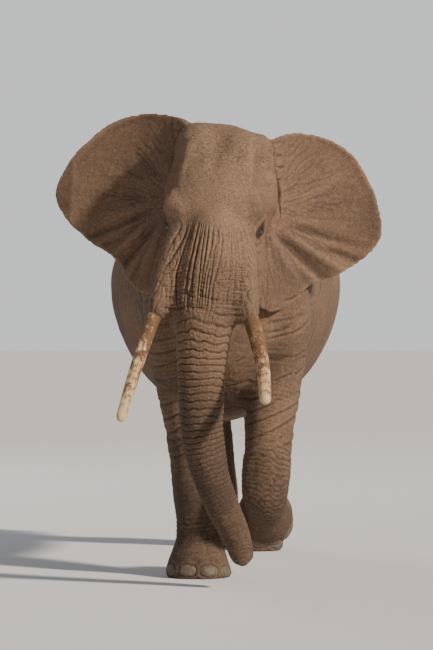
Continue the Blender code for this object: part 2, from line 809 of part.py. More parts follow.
def centre_on_floor(objects):
    """Moves everything so that the origin is the middle of the bounding box's bottom."""
    points = np.array([v.co for obj in objects for v in obj.data.vertices])
    low = points.min(0)
    high = points.max(0)
    shift = Vector((-(low[0] + high[0]) / 2, -(low[1] + high[1]) / 2, -low[2]))
    for obj in objects:
        obj.data.transform(Matrix.Translation(shift))


def main():
    for old in list(bpy.data.objects):
        bpy.data.objects.remove(old)
    body = flesh()
    below = sliced(body, (0, 0, 0), (0, 0, -1), "below")
    bpy.data.objects.remove(below)

    wide = grown(body, GAP)
    ears = [ear(name, *pose) for name, pose in EAR_POSES.items()]
    for piece in ears:
        combine(piece, wide, "DIFFERENCE")
    bpy.data.objects.remove(wide)
    tusks = [
        tusk("tusk_right", TUSK_RIGHT, 1.0),
        tusk("tusk_left", TUSK_LEFT, TUSK_LEFT_GIRTH),
    ]
    eyes = [eye("eye_left", 1, body), eye("eye_right", -1, body)]
    for piece in (*tusks, *eyes):
        seated(piece, body)

    skin = []
    horn = []
    for name, rows in LEGS.items():
        pieces, toes = leg_pieces(body, name, rows)
        skin += pieces
        horn += toes
    skin += trunk_parts(body)
    tail = taken_by(body, envelope_of(smooth_rows(TAIL, 4)[3:], ENVELOPE_SLIM, 3), "tail")
    skin.append(tail)
    below = sliced(tail, (0, 0, TUFT[0][2]), (0, 0, -1), "below")
    bpy.data.objects.remove(below)
    tuft = tuft_solid()
    for name, point, normal in BODY_CUTS:
        skin.append(sliced(body, point, normal, name))
    head = next(piece for piece in skin if piece.name == "head")
    envelope = envelope_of(smooth_rows(JAW, 4)[5:], ENVELOPE_SLIM, 4)
    envelope.data.transform(head_matrix())
    skin.append(taken_by(head, envelope, "lower_jaw"))
    body.name = "torso"
    skin.append(body)

    groups = (
        (skin + ears, HIDE, 0.85),
        (tusks, IVORY, 0.45),
        (horn, HORN, 0.55),
        (eyes, DARK, 0.10),
        ([tuft], HAIR, 0.60),
    )
    for pieces, colour, roughness in groups:
        for piece in pieces:
            finish(piece, colour, roughness)
    centre_on_floor([piece for pieces, _, _ in groups for piece in pieces])


main()
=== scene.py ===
"""A bull African savanna elephant in mid stride: skin, tusks, eyes, toenails and hair.

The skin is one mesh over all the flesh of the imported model. It is grown from those solids,
smoothed, and given its folds, wrinkles, eyelids and mouth. Metres, +Z up, facing -Y.
"""

import collections
import itertools
import math

import bmesh
import bpy
import numpy as np
from mathutils import Matrix, Vector
from mathutils.bvhtree import BVHTree


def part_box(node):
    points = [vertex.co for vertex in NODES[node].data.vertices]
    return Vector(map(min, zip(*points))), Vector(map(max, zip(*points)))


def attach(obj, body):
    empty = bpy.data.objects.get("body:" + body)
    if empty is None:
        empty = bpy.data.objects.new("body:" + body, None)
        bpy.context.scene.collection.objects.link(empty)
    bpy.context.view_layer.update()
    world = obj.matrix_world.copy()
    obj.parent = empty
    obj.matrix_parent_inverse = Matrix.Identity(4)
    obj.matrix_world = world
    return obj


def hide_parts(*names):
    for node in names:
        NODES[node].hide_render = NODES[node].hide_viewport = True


bl_info = {
    "name": "Savanna elephant",
    "version": (1, 0, 0),
    "blender": (4, 5, 0),
    "location": "View3D > Sidebar > Elephant",
    "description": "Builds the skin, tusks, eyes, toenails and hair of a walking bull elephant",
    "category": "Object",
}

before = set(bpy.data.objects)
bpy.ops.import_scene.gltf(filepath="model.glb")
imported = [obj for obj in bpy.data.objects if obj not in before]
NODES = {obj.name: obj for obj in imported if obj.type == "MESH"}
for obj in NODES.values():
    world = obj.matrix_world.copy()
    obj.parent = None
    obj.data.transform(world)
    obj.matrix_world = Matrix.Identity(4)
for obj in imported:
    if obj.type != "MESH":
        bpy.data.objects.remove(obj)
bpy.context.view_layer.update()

# ---------------------------------------------------------------- the stance and its measures
def middle_of(node):
    """The middle of the box round a solid."""
    return np.mean(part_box(node), 0)


# The tables below stand on the ground, with their origin beside the supporting forefoot.
FOOT_TO_ORIGIN = (0.1269, -0.0015, 0.0)
STANCE = middle_of("fore_right_foot") * (1, 1, 0) + FOOT_TO_ORIGIN
SPINE_X = 0.07
# The head's own frame: its place, and its turn and roll in degrees.
HEAD_AT = (0.02, -0.52, 2.60)
HEAD_YAW = -9.0
HEAD_ROLL = 2.5

# Trunk: x, y, z, half width, half depth, from the bridge to the tip.
TRUNK = (
    (0.000, -0.86, 2.52, 0.190, 0.160),
    (-0.030, -0.93, 2.24, 0.230, 0.205),
    (-0.068, -0.99, 1.98, 0.222, 0.215),
    (-0.095, -1.05, 1.70, 0.182, 0.190),
    (-0.107, -1.08, 1.36, 0.160, 0.166),
    (-0.095, -1.06, 1.06, 0.148, 0.150),
    (-0.035, -1.02, 0.78, 0.132, 0.132),
    (0.050, -0.98, 0.55, 0.118, 0.117),
    (0.140, -0.96, 0.36, 0.104, 0.104),
    (0.188, -0.965, 0.185, 0.088, 0.088),
)
# Legs, shoulder or hip to sole, in the same way.
LEGS = {
    "fore_right": (
        (-0.34, 0.02, 2.05, 0.225, 0.300),
        (-0.245, 0.08, 1.45, 0.205, 0.250),
        (-0.150, 0.00, 0.66, 0.177, 0.186),
        (-0.125, 0.02, 0.30, 0.175, 0.185),
        (-0.130, 0.00, 0.12, 0.230, 0.240),
        (-0.130, 0.00, -0.02, 0.240, 0.248),
    ),
    "fore_left": (
        (0.48, -0.04, 2.05, 0.225, 0.300),
        (0.425, -0.02, 1.48, 0.205, 0.250),
        (0.352, -0.34, 0.73, 0.170, 0.180),
        (0.352, -0.22, 0.545, 0.160, 0.170),
        (0.352, -0.03, 0.460, 0.180, 0.190),
        (0.354, 0.13, 0.420, 0.210, 0.220),
    ),
    "hind_right": (
        (-0.27, 2.36, 2.10, 0.265, 0.420),
        (-0.08, 2.36, 1.20, 0.182, 0.230),
        (0.022, 2.80, 0.48, 0.158, 0.182),
        (0.012, 2.77, 0.14, 0.195, 0.230),
        (0.010, 2.76, -0.02, 0.200, 0.236),
    ),
    "hind_left": (
        (0.41, 2.32, 2.10, 0.265, 0.420),
        (0.40, 2.16, 1.20, 0.182, 0.230),
        (0.370, 2.42, 0.48, 0.158, 0.182),
        (0.349, 2.39, 0.14, 0.195, 0.230),
        (0.346, 2.38, -0.02, 0.200, 0.236),
    ),
}
# The tail, from its root down, in the same way.
TAIL = (
    (0.065, 2.90, 2.31, 0.062, 0.068),
    (0.045, 2.99, 2.10, 0.046, 0.050),
    (0.015, 3.015, 1.84, 0.036, 0.038),
    (-0.015, 3.02, 1.50, 0.030, 0.032),
    (-0.030, 3.03, 1.26, 0.026, 0.028),
)

# Ears, seen from the front: distance out from the root line, height.
EAR_OUTLINE = (
    (0.00, 0.56), (0.20, 0.625), (0.42, 0.60), (0.60, 0.50), (0.72, 0.34),
    (0.81, 0.15), (0.845, -0.08), (0.74, -0.24), (0.54, -0.38), (0.36, -0.46),
    (0.24, -0.60), (0.10, -0.665), (-0.03, -0.58), (-0.07, -0.42),
)
# How each ear is held: its side, breadth, lift in degrees, backward sweep and rise of its rim.
Ear = collections.namedtuple("Ear", "side spread lift sweep rise")
EARS = {"left": Ear(1, 0.98, 0.0, 0.55, 0.0), "right": Ear(-1, 1.16, 10.0, 0.30, 0.06)}
EAR_ROOT_TOP = (0.28, 0.10, 0.50)
EAR_ROOT_BOTTOM = (0.275, -0.05, -0.36)
EAR_CUP = 0.10
EAR_SPAN = 0.85
EAR_THICK_ROOT = 0.050
EAR_THICK_RIM = 0.020
EAR_CURL = 0.010
EAR_RIPPLE = 0.006
# Where the folds fan out from, seen from the front.
EAR_FAN_X, EAR_FAN_Z = 0.30, 0.08
# Folds that fan out over the ear from its root: angle up from level, start, end, width, height.
EAR_FOLDS = (
    (-62, 0.12, 0.60, 0.030, 0.016),
    (-54, 0.42, 0.95, 0.026, 0.018),
    (-48, 0.15, 1.00, 0.034, -0.024),
    (-38, 0.20, 1.00, 0.032, 0.024),
    (-29, 0.45, 1.05, 0.026, -0.018),
    (-20, 0.16, 0.75, 0.030, -0.014),
    (-10, 0.12, 0.60, 0.040, 0.012),
    (8, 0.20, 0.66, 0.045, -0.010),
    (28, 0.18, 0.60, 0.040, 0.010),
    (52, 0.12, 0.50, 0.040, -0.008),
)

# The ball of flesh that closes each tusk's socket: its place in the head's frame, its radius.
SOCKET_AT = (0.315, -0.545, -0.70)
SOCKET_RADIUS = 0.062
TUSK_BASE = (0.30, -0.50, -0.66)
TUSK_RADIUS = 0.052
TUSK_TIP_RADIUS = 0.034
# Each tusk: its share of that girth, and its course beyond the base in the head's frame.
TUSKS = {
    "right": (1.0, ((-0.340, -0.59, -0.76), (-0.408, -0.81, -1.11), (-0.425, -1.18, -1.43))),
    "left": (1.12, ((0.358, -0.58, -0.76), (0.462, -0.75, -1.03), (0.532, -1.04, -1.27))),
}

HIDE_NODES = [
    "torso", "neck", "head", "lower_jaw", "ear_left", "ear_right", "tail",
    "trunk_upper", "trunk_middle", "trunk_lower", "trunk_tip",
    *(f"fore_{s}_{p}" for s in ("right", "left") for p in ("upper_arm", "forearm", "foot")),
    *(f"hind_{s}_{p}" for s in ("right", "left") for p in ("thigh", "shank", "foot")),
]
NAIL_NODES = [name for name in NODES if name.startswith("nail_")]

# The grain that the body and then the skin are made anew in, how far the solids swell so that
# the gaps between them close, and how far the skin's soles stay off the ground.
COARSE_VOXEL = 0.020
FINE_VOXEL = 0.0105
SEAM = 0.0015
SOLE_LIFT = 0.0005


# ---------------------------------------------------------------- numbers over many points
def step(low, high, value):
    """A smooth rise from 0 at low to 1 at high."""
    share = np.clip((value - low) / (high - low), 0, 1)
    return share * share * (3 - 2 * share)


def band(low, full, fading, gone, value):
    """A smooth rise from 0 at low to 1 at full, and a fall back to 0 at gone."""
    return step(low, full, value) * (1 - step(fading, gone, value))


def bell(distance):
    """1 at distance 0, falling off evenly on both sides."""
    return np.exp(-(distance**2))


def unit(vectors):
    """A vector, or rows of them, brought to length 1."""
    return vectors / np.linalg.norm(vectors, axis=-1, keepdims=True)


def rows_of(*columns):
    """Numbers given one column at a time, as rows."""
    return np.stack(columns, -1)


def wound(along, angle, pitch, girth):
    """Places along and round a tube, for noise that meets itself without a seam."""
    return rows_of(along * pitch, np.cos(angle) * girth, np.sin(angle) * girth)


def smooth_rows(rows, per_span):
    """Rows of numbers run through a Catmull-Rom curve."""
    table = np.array(rows, float)
    padded = np.vstack([2 * table[0] - table[1], table, 2 * table[-1] - table[-2]])
    out = []
    for i in range(len(table) - 1):
        a, b, c, d = padded[i : i + 4]
        for t in np.arange(per_span) / per_span:
            cubic = (3 * b - a - 3 * c + d) * t**3
            out.append(0.5 * (2 * b + (c - a) * t + (2 * a - 5 * b + 4 * c - d) * t**2 + cubic))
    out.append(table[-1])
    return np.array(out)


def noise(points, seed):
    """Gradient noise over points in space, about -1 to 1."""
    rng = np.random.default_rng(seed)
    table = rng.permutation(256)
    gradient = unit(rng.normal(size=(256, 3)))
    cell = np.floor(points).astype(np.int64)
    part = points - cell
    fade = part**3 * (part * (part * 6 - 15) + 10)
    total = np.zeros(len(points))
    for corner in itertools.product((0, 1), repeat=3):
        at = (cell + corner) & 255
        index = table[(table[(table[at[:, 0]] + at[:, 1]) & 255] + at[:, 2]) & 255]
        dot = ((part - corner) * gradient[index]).sum(1)
        weight = np.where(corner, fade, 1 - fade).prod(1)
        total += weight * dot
    return total * 1.6


def creases(points, size, width, seed):
    """Meandering creases about `size` apart: 1 along the middle of one, 0 away from it."""
    scale = 1 / np.array(size)
    return bell(noise(points * scale, seed) / width)


def rolls(phase, sharpness=2.4):
    """Rounded rolls parted by sharp creases, one to each unit of phase: -0.6 to 0.4."""
    return 0.4 - np.abs(2 * (phase - np.floor(phase)) - 1) ** sharpness


class Limb:
    """Places on and near a limb, told along it, around it and out from it."""

    def __init__(self, rows):
        self.rows = smooth_rows(rows, 8)
        path = self.rows[:, :3]
        lengths = np.linalg.norm(np.diff(path, axis=0), axis=1)
        self.along = np.concatenate([[0], np.cumsum(lengths)])
        self.length = self.along[-1]
        self.tangent = unit(np.gradient(path, axis=0))
        self.side = unit(np.array((1.0, 0, 0)) - self.tangent[:, :1] * self.tangent)
        self.depth = np.cross(self.tangent, self.side)

    def locate(self, points):
        """(distance along, angle round, distance out as a share of the girth) of each point."""
        along = np.full(len(points), -1.0)
        angle = np.zeros(len(points))
        out = np.full(len(points), 9.0)
        path = self.rows[:, :3]
        reach = 1.6 * self.rows[:, 3:5].max()
        low, high = path.min(0) - reach, path.max(0) + reach
        near = np.flatnonzero(((points > low) & (points < high)).all(1))
        for part in np.array_split(near, max(1, len(near) // 20000)):
            here = points[part]
            away = ((here[:, None] - path[None]) ** 2).sum(2)
            i = away.argmin(1)
            offset = here - path[i]
            forward = (offset * self.tangent[i]).sum(1)
            across = (offset * self.side[i]).sum(1)
            deep = (offset * self.depth[i]).sum(1)
            along[part] = self.along[i] + forward
            angle[part] = np.arctan2(deep, across)
            out[part] = np.hypot(across / self.rows[i, 3], deep / self.rows[i, 4])
        return along, angle, out


def head_matrix():
    """How the head stands and is turned: from its own frame to the stance's."""
    yaw = Matrix.Rotation(math.radians(HEAD_YAW), 4, "Z")
    roll = Matrix.Rotation(math.radians(HEAD_ROLL), 4, "Y")
    return Matrix.Translation(HEAD_AT) @ yaw @ roll


HEAD_TO_STANCE = np.array(head_matrix())
STANCE_TO_HEAD = np.linalg.inv(HEAD_TO_STANCE)


def moved(points, matrix):
    """Points taken through a 4 by 4 matrix."""
    return points @ matrix[:3, :3].T + matrix[:3, 3]


def head_to_world(points):
    """One place or many in the head's frame, as rows in the world."""
    return moved(np.atleast_2d(np.array(points, float)), HEAD_TO_STANCE) + STANCE


# ---------------------------------------------------------------- meshes
def values_of(items, key, width=1, kind=float):
    """One property of every item of a mesh, as numbers or as rows of them."""
    values = np.empty(len(items) * width, kind)
    items.foreach_get(key, values)
    return values.reshape(-1, width) if width > 1 else values


def points_of(mesh):
    return values_of(mesh.vertices, "co", 3)


def normals_of(mesh):
    return values_of(mesh.vertices, "normal", 3)


def edges_of(mesh):
    return values_of(mesh.edges, "vertices", 2, np.int64)


def put_points(mesh, points):
    mesh.vertices.foreach_set("co", np.ascontiguousarray(points, dtype=float).ravel())
    mesh.update()


def new_object(name, data):
    """A mesh, lamp or camera as an object of the scene."""
    obj = bpy.data.objects.new(name, data)
    bpy.context.scene.collection.objects.link(obj)
    return obj


def mesh_of(name, points, faces):
    mesh = bpy.data.meshes.new(name)
    mesh.from_pydata([tuple(p) for p in points], [], [tuple(f) for f in faces])
    mesh.update()
    return mesh


def mesh_from(name, bm):
    """What a bmesh holds, as a mesh. The bmesh is spent."""
    mesh = bpy.data.meshes.new(name)
    bm.to_mesh(mesh)
    bm.free()
    return mesh


def rounded(mesh):
    """The mesh, shaded as one smooth surface."""
    mesh.polygons.foreach_set("use_smooth", np.ones(len(mesh.polygons), bool))
    return mesh


def smoothed(values, edges, passes, weight):
    """Values at the points of a mesh, averaged with their neighbours again and again."""
    a, b = edges.T
    count = np.bincount(edges.ravel(), minlength=len(values))[:, None]
    values = values.astype(float).copy()
    flat = values.ndim == 1
    if flat:
        values = values[:, None]
    weight = np.broadcast_to(weight, len(values))[:, None]
    for _ in range(passes):
        total = np.empty_like(values)
        for i in range(values.shape[1]):
            total[:, i] = np.bincount(a, values[b, i], len(values))
            total[:, i] += np.bincount(b, values[a, i], len(values))
        values += weight * (total / count - values)
    return values[:, 0] if flat else values


def softened(points, edges, passes, weight):
    """Points smoothed, with most of the lost fullness given back."""
    once = smoothed(points, edges, passes, weight)
    return once + smoothed(points - once, edges, passes, weight)


def remeshed(name, mesh, voxel):
    """A mesh's volume as an even mesh of small squares."""
    obj = new_object(name, mesh)
    change = obj.modifiers.new("even", "REMESH")
    change.mode = "VOXEL"
    change.voxel_size = voxel
    graph = bpy.context.evaluated_depsgraph_get()
    out = bpy.data.meshes.new_from_object(obj.evaluated_get(graph))
    bpy.data.objects.remove(obj)
    return out


def mark(mesh, name, values):
    """Keeps a number or a vector for each point of a mesh, for its material to read."""
    kind, key = ("FLOAT", "value") if values.ndim == 1 else ("FLOAT_VECTOR", "vector")
    layer = mesh.attributes.new(name, kind, "POINT")
    layer.data.foreach_set(key, np.ascontiguousarray(values, dtype=np.float32).ravel())


# ---------------------------------------------------------------- ears
def ear_middle(ear, columns, rows):
    """The middle surface of an ear in the head's frame, as a grid from root to rim."""
    outline = smooth_rows(EAR_OUTLINE, 12)
    index = np.arange(len(outline))
    share = np.linspace(0, index[-1], columns)
    rim = rows_of(*(np.interp(share, index, outline[:, i]) for i in (0, 1)))
    turn = math.radians(ear.lift)
    out = ear.spread * (rim[:, 0] * math.cos(turn) - rim[:, 1] * math.sin(turn))
    up = rim[:, 0] * math.sin(turn) + rim[:, 1] * math.cos(turn) + ear.rise
    place = np.linspace(0, 1, columns)
    root = np.outer(1 - place, EAR_ROOT_TOP) + np.outer(place, EAR_ROOT_BOTTOM)
    t = np.linspace(0, 1, rows)[:, None]
    x = root[:, 0] * (1 - t) + (root[0, 0] + out) * t
    z = root[:, 2] * (1 - t) + up * t
    y = root[:, 1] + ear_set_back(np.maximum(x - root[:, 0], 0), ear)
    return rows_of(x, y, z), t, place


def ear_set_back(reach, ear):
    """How far behind its root an ear stands at a reach outwards."""
    return ear.sweep * reach + EAR_CUP * np.sin(np.clip(reach / EAR_SPAN, 0, 1) * math.pi)


def ear_folds(x, z, spread, seed):
    """How far the folds lift the middle surface, for places on the ear seen from the front."""
    out = (x - EAR_FAN_X) / spread
    up = z - EAR_FAN_Z
    reach = np.hypot(out, up)
    total = np.zeros_like(x)
    warp = 0.05 * np.sin(3.2 * reach + seed)
    for angle, start, end, width, height in EAR_FOLDS:
        turn = math.radians(angle)
        off = -out * math.sin(turn) + up * math.cos(turn) + warp
        ahead = out * math.cos(turn) + up * math.sin(turn)
        size = width * (0.6 + 0.9 * reach)
        fade = band(start, start + 0.16, end - 0.2, end + 0.1, ahead)
        total += height * bell(off / size) * fade
    return total


def ear_mesh(name, ear):
    """A closed ear with folds, thick at the root and thin at the rim, in the world."""
    columns, rows = 150, 66
    middle, t, place = ear_middle(ear, columns, rows)
    normal = unit(np.cross(np.gradient(middle, axis=1), np.gradient(middle, axis=0)))
    fold = ear_folds(middle[..., 0], middle[..., 2], ear.spread, ear.side)
    middle = middle + normal * fold[..., None] * step(0.03, 0.25, t)[..., None]
    middle[..., 1] -= EAR_CURL * step(0.90, 1.0, t) * band(0.05, 0.12, 0.40, 0.55, place)
    ripple = np.sin(place * 46 + 3 * np.sin(place * 11)) * step(0.86, 1.0, t)
    middle[..., 1] += EAR_RIPPLE * ripple * (0.4 + step(0.35, 0.6, place))
    inner = (1 - t) ** 2
    half = (EAR_THICK_ROOT * inner + EAR_THICK_RIM * (1 - inner)) / 2
    half = half * np.sqrt(np.clip(1.02 - t**24, 0.50, 1))
    front = (middle + normal * half[..., None]) * (ear.side, 1, 1)
    back = (middle - normal * half[..., None]) * (ear.side, 1, 1)
    sheets = [front.reshape(-1, 3), back.reshape(-1, 3)]
    points = head_to_world(np.vstack(sheets))
    faces = []
    size = columns * rows
    for sheet, order in ((0, 1), (size, -1)):
        for r in range(rows - 1):
            for c in range(columns - 1):
                at = sheet + r * columns + c
                faces.append((at, at + 1, at + columns + 1, at + columns)[::order])
    ring = [*range(columns)]
    ring += [r * columns + columns - 1 for r in range(1, rows)]
    ring += [(rows - 1) * columns + c for c in range(columns - 2, -1, -1)]
    ring += [r * columns for r in range(rows - 2, 0, -1)]
    for a, b in zip(ring, ring[1:] + ring[:1]):
        faces.append((b, a, a + size, b + size))
    return mesh_of(name, points, faces)


def ear_share(local, ear):
    """How surely places in the head's frame are on this ear: 0 or up to 1."""
    down = np.clip((EAR_ROOT_TOP[2] - local[:, 2]) / (EAR_ROOT_TOP[2] - EAR_ROOT_BOTTOM[2]), 0, 1)
    root_x = EAR_ROOT_TOP[0] * (1 - down) + EAR_ROOT_BOTTOM[0] * down
    root_y = EAR_ROOT_TOP[1] * (1 - down) + EAR_ROOT_BOTTOM[1] * down
    reach = np.maximum(local[:, 0] * ear.side - root_x, 0)
    y = root_y + ear_set_back(reach, ear)
    return step(0.07, 0.15, reach) * (1 - step(0.085, 0.115, np.abs(local[:, 1] - y)))


def on_ears(points, where, ears):
    """The skin's points away from the roots of the ears, drawn onto the ears' own sheets."""
    points = points.copy()
    for name, mesh in ears.items():
        faces = [face.vertices for face in mesh.polygons]
        sheet = BVHTree.FromPolygons([vert.co for vert in mesh.vertices], faces)
        out = (where.local[:, 0] * EARS[name].side - EAR_ROOT_TOP[0]) / EARS[name].spread
        share = where.ears[name] * step(0.14, 0.32, out)
        for index in np.flatnonzero(share > 0.01):
            place = sheet.find_nearest(points[index], 0.05)[0]
            if place is not None:
                points[index] += share[index] * (np.array(place) - points[index])
    return points


# ---------------------------------------------------------------- the skin's shape
class Regions:
    """Where each point of the skin lies: limbs, ears, head and the rest."""

    def __init__(self, world):
        self.stance = world - STANCE
        self.local = moved(self.stance, STANCE_TO_HEAD)
        self.limbs = {"trunk": Limb(TRUNK), "tail": Limb(TAIL)}
        self.limbs.update({name: Limb(rows) for name, rows in LEGS.items()})
        self.places = {name: limb.locate(self.stance) for name, limb in self.limbs.items()}
        self.ears = {name: ear_share(self.local, ear) for name, ear in EARS.items()}
        self.ear = np.maximum(*self.ears.values())
        x, y, z = self.local.T
        self.head = step(-0.92, -0.75, z) * (1 - step(0.10, 0.30, y)) * (1 - self.ear)
        self.head *= 1 - step(0.45, 0.55, np.abs(x))

    def limb(self, name, inner=1.15, outer=1.45):
        """The share of a limb in each point."""
        along, _, out = self.places[name]
        return (1 - step(inner, outer, out)) * (along > -0.05)

    def folded(self):
        """Places in the head's frame, with its right side laid over its left."""
        return np.hstack([np.abs(self.local[:, :1]), self.local[:, 1:]])


def coarse_body():
    """The flesh without ears as one smooth body."""
    bm = bmesh.new()
    for name in (*HIDE_NODES, "eye_left", "eye_right"):
        if not name.startswith("ear_"):
            bm.from_mesh(NODES[name].data)
    bmesh.ops.remove_doubles(bm, verts=bm.verts, dist=1e-5)
    bm.normal_update()
    for vert in bm.verts:
        vert.co += vert.normal * SEAM
    for side in (-1, 1):
        place = head_to_world((side * SOCKET_AT[0], *SOCKET_AT[1:]))[0]
        plug = bmesh.ops.create_icosphere(bm, subdivisions=3, radius=SOCKET_RADIUS)
        bmesh.ops.translate(bm, verts=plug["verts"], vec=Vector(place))
    mesh = remeshed("flesh", mesh_from("flesh", bm), COARSE_VOXEL)
    points = points_of(mesh)
    where = Regions(points)
    weight = np.full(len(points), 0.85)
    for name in where.limbs:
        share = where.limb(name, 1.1, 1.5)
        strength = {"trunk": 0.14, "tail": 0.02}.get(name, 0.16)
        weight = weight * (1 - share) + strength * share
    weight = weight * (1 - where.head) + 0.10 * where.head
    level = points[:, 2].copy()
    weight *= 0.3 + 0.7 * step(0.0, 0.25, level)
    points = softened(points, edges_of(mesh), 60, weight)
    stance = points - STANCE
    nape = band(-0.70, -0.35, 0.35, 0.85, stance[:, 1])
    nape *= step(1.9, 2.3, stance[:, 2]) * step(0.05, 0.30, where.local[:, 1])
    points = smoothed(points, edges_of(mesh), 90, 0.8 * nape)
    sole = 1 - step(0.012, 0.045, level)
    points[:, 2] = points[:, 2] * (1 - sole) + level * sole
    put_points(mesh, points)
    return mesh


def whole_body():
    """Body and ears joined as one even mesh."""
    bm = bmesh.new()
    bm.from_mesh(coarse_body())
    ears = {name: ear_mesh(f"ear_{name}", ear) for name, ear in EARS.items()}
    for mesh in ears.values():
        bm.from_mesh(mesh)
    mesh = remeshed("skin", mesh_from("skin", bm), FINE_VOXEL)
    points = points_of(mesh)
    where = Regions(points)
    points = softened(points, edges_of(mesh), 9, 0.6 - 0.10 * where.ear)
    points = on_ears(points, where, ears)
    points = softened(points, edges_of(mesh), 2, 0.5 * where.ear)
    put_points(mesh, points)
    return mesh


def refined(mesh, chosen):
    """Splits the faces whose points are all chosen into four."""
    bm = bmesh.new()
    bm.from_mesh(mesh)
    bm.verts.ensure_lookup_table()
    marked = chosen.tolist()
    edges = [e for e in bm.edges if marked[e.verts[0].index] and marked[e.verts[1].index]]
    bmesh.ops.subdivide_edges(bm, edges=edges, cuts=1, use_grid_fill=True)
    bm.to_mesh(mesh)
    bm.free()
    return mesh


# The eyes' middles, an eyeball, half the length and height of the gap between its lids, and
# how near an eye the skin gets finer faces.
EYES = {side: middle_of(f"eye_{side}") for side in ("left", "right")}
EYE_RADIUS = 0.040
LID_LONG = 0.049
LID_OPEN = 0.0235
EYE_REFINING = ((0.13,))


def from_eyes(points):
    """How far places are from the nearer eye."""
    return np.minimum(*(np.linalg.norm(points - eye, axis=1) for eye in EYES.values()))


# How far a toenail lies below its solid, how far it sinks in, its thickness, its grain, and
# half the width, height and depth of its bed.
NAIL_DROP = 0.021
NAIL_SINK = 0.011
NAIL_THICKEN = 0.008
NAIL_VOXEL = 0.0042
NAIL_BED = (0.078, 0.054, 0.080)


# Forms of the head, the same on both sides: centre, radii, height in the head's frame.
HEAD_FORMS = (
    ((0.215, -0.26, 0.42), (0.040, 0.09, 0.10), 0.015),
    ((0.245, -0.26, 0.27), (0.036, 0.08, 0.10), 0.021),
    ((0.290, -0.24, 0.14), (0.040, 0.08, 0.09), 0.022),
    ((0.350, -0.10, 0.29), (0.060, 0.13, 0.17), -0.052),
    ((0.310, -0.17, 0.37), (0.045, 0.08, 0.12), -0.020),
    ((0.13, -0.34, 0.36), (0.10, 0.10, 0.11), 0.006),
    ((0.225, -0.35, 0.03), (0.06, 0.10, 0.07), 0.022),
    ((0.00, -0.30, 0.46), (0.035, 0.12, 0.16), -0.008),
    ((0.36, 0.05, 0.13), (0.05, 0.06, 0.10), 0.014),
    ((0.31, -0.16, -0.26), (0.07, 0.10, 0.09), -0.012),
    ((0.33, -0.02, -0.14), (0.05, 0.08, 0.12), -0.012),
)
# Forms of the body in the stance frame: centre, radii, height.
BODY_FORMS = (
    ((-0.15, -0.20, 0.66), (0.16, 0.10, 0.12), 0.012),
    ((0.352, -0.52, 0.72), (0.16, 0.12, 0.12), 0.010),
    ((SPINE_X, 0.9, 3.05), (0.06, 1.2, 0.15), 0.018),
    ((SPINE_X, 2.2, 2.95), (0.06, 0.6, 0.15), 0.014),
    ((0.285, -0.50, 3.23), (0.13, 0.20, 0.10), -0.045),
    ((-0.16, -0.50, 3.27), (0.13, 0.20, 0.10), 0.014),
)


def sculpt(points, normals, where):
    """Large forms the solids leave plain: brows, hollows, cheeks, lips, knees and loose skin."""
    out = np.zeros(len(points))
    for forms, places in ((HEAD_FORMS, where.folded()), (BODY_FORMS, where.stance)):
        for centre, radii, height in forms:
            away = np.linalg.norm((places - centre) / radii, axis=1)
            out += height * bell(away) * (1 - where.ear)
    return points + normals * out[:, None]


# The trunk's rolls: height above the ground, and how far apart and how high they are there.
TRUNK_ROLLS = (
    (2.45, 0.120, 0.0),
    (2.10, 0.110, 0.003),
    (1.90, 0.090, 0.012),
    (1.72, 0.062, 0.014),
    (1.55, 0.047, 0.0125),
    (1.20, 0.045, 0.0115),
    (0.98, 0.036, 0.008),
    (0.75, 0.029, 0.005),
    (0.45, 0.026, 0.003),
    (0.15, 0.026, 0.0018),
)


def trunk_relief(where):
    """Rolls, cross creases and the deep folds at the root of the trunk."""
    along, angle, _ = where.places["trunk"]
    share = where.limb("trunk", 1.25, 1.6)
    limb = where.limbs["trunk"]
    z = where.stance[:, 2]
    level, spacing, height = np.array(TRUNK_ROLLS).T
    pitch = np.interp(-limb.rows[:, 2], -level, spacing)
    phase_at = np.concatenate([[0], np.cumsum(np.diff(limb.along) / pitch[1:])])
    fine = wound(along, angle, 9, 3.2)
    wander = 0.40 * noise(wound(along, angle, 2.6, 0.8), 11) + 0.20 * noise(fine, 12)
    phase = np.interp(along, limb.along, phase_at) + wander
    uneven = 1 + 0.45 * noise(fine * 0.7, 13)
    ahead = -math.copysign(math.pi / 2, limb.depth[:, 1].mean())
    front = 0.72 + 0.28 * np.cos(angle - ahead)
    ring = rolls(phase) + 0.35 * rolls(phase * 2 + 0.5 * noise(fine * 1.6, 18))
    out = ring * np.interp(-z, -level, height) * uneven * front
    strip = rows_of(along * 0.35, angle * 0.17, along * 0)
    some = 0.5 + 0.5 * step(-0.2, 0.5, noise(fine * 0.6, 15))
    split = creases(strip * (0.6, 1, 1), 0.024, 0.12, 14) * some
    out -= (0.0024 + 0.0030 * step(1.5, 1.8, z)) * split * step(0.3, 0.9, z)
    long_strip = strip * (0.26, 1, 1)
    long_strip[:, 1] += 0.003 * np.sin(along * 11)
    deep = creases(long_strip, (0.06, 0.029, 1), 0.16, 16)
    root = band(1.90, 2.00, 2.44, 2.58, z)
    right_heavy = 0.38 + 0.62 * (1 - step(-0.12, 0.10, where.stance[:, 0]))
    out -= 0.015 * deep * root * right_heavy
    across = rows_of(along + 0.02 * np.sin(angle * 3), angle * 0.05, along * 0)
    cross = creases(across, (0.030, 0.045, 1), 0.16, 17)
    out -= 0.0055 * cross * band(1.86, 1.97, 2.10, 2.46, z)
    return out * share * step(-0.04, 0.06, along)


# Where the rings of a leg begin, stand full, fade and end, in metres up from its sole. The
# lifted foot's run further, over its bent wrist.
RING_ZONES = {name: (0.20, 0.30, 0.40, 0.62) for name in LEGS}
RING_ZONES["fore_left"] = (0.25, 0.38, 0.72, 0.95)


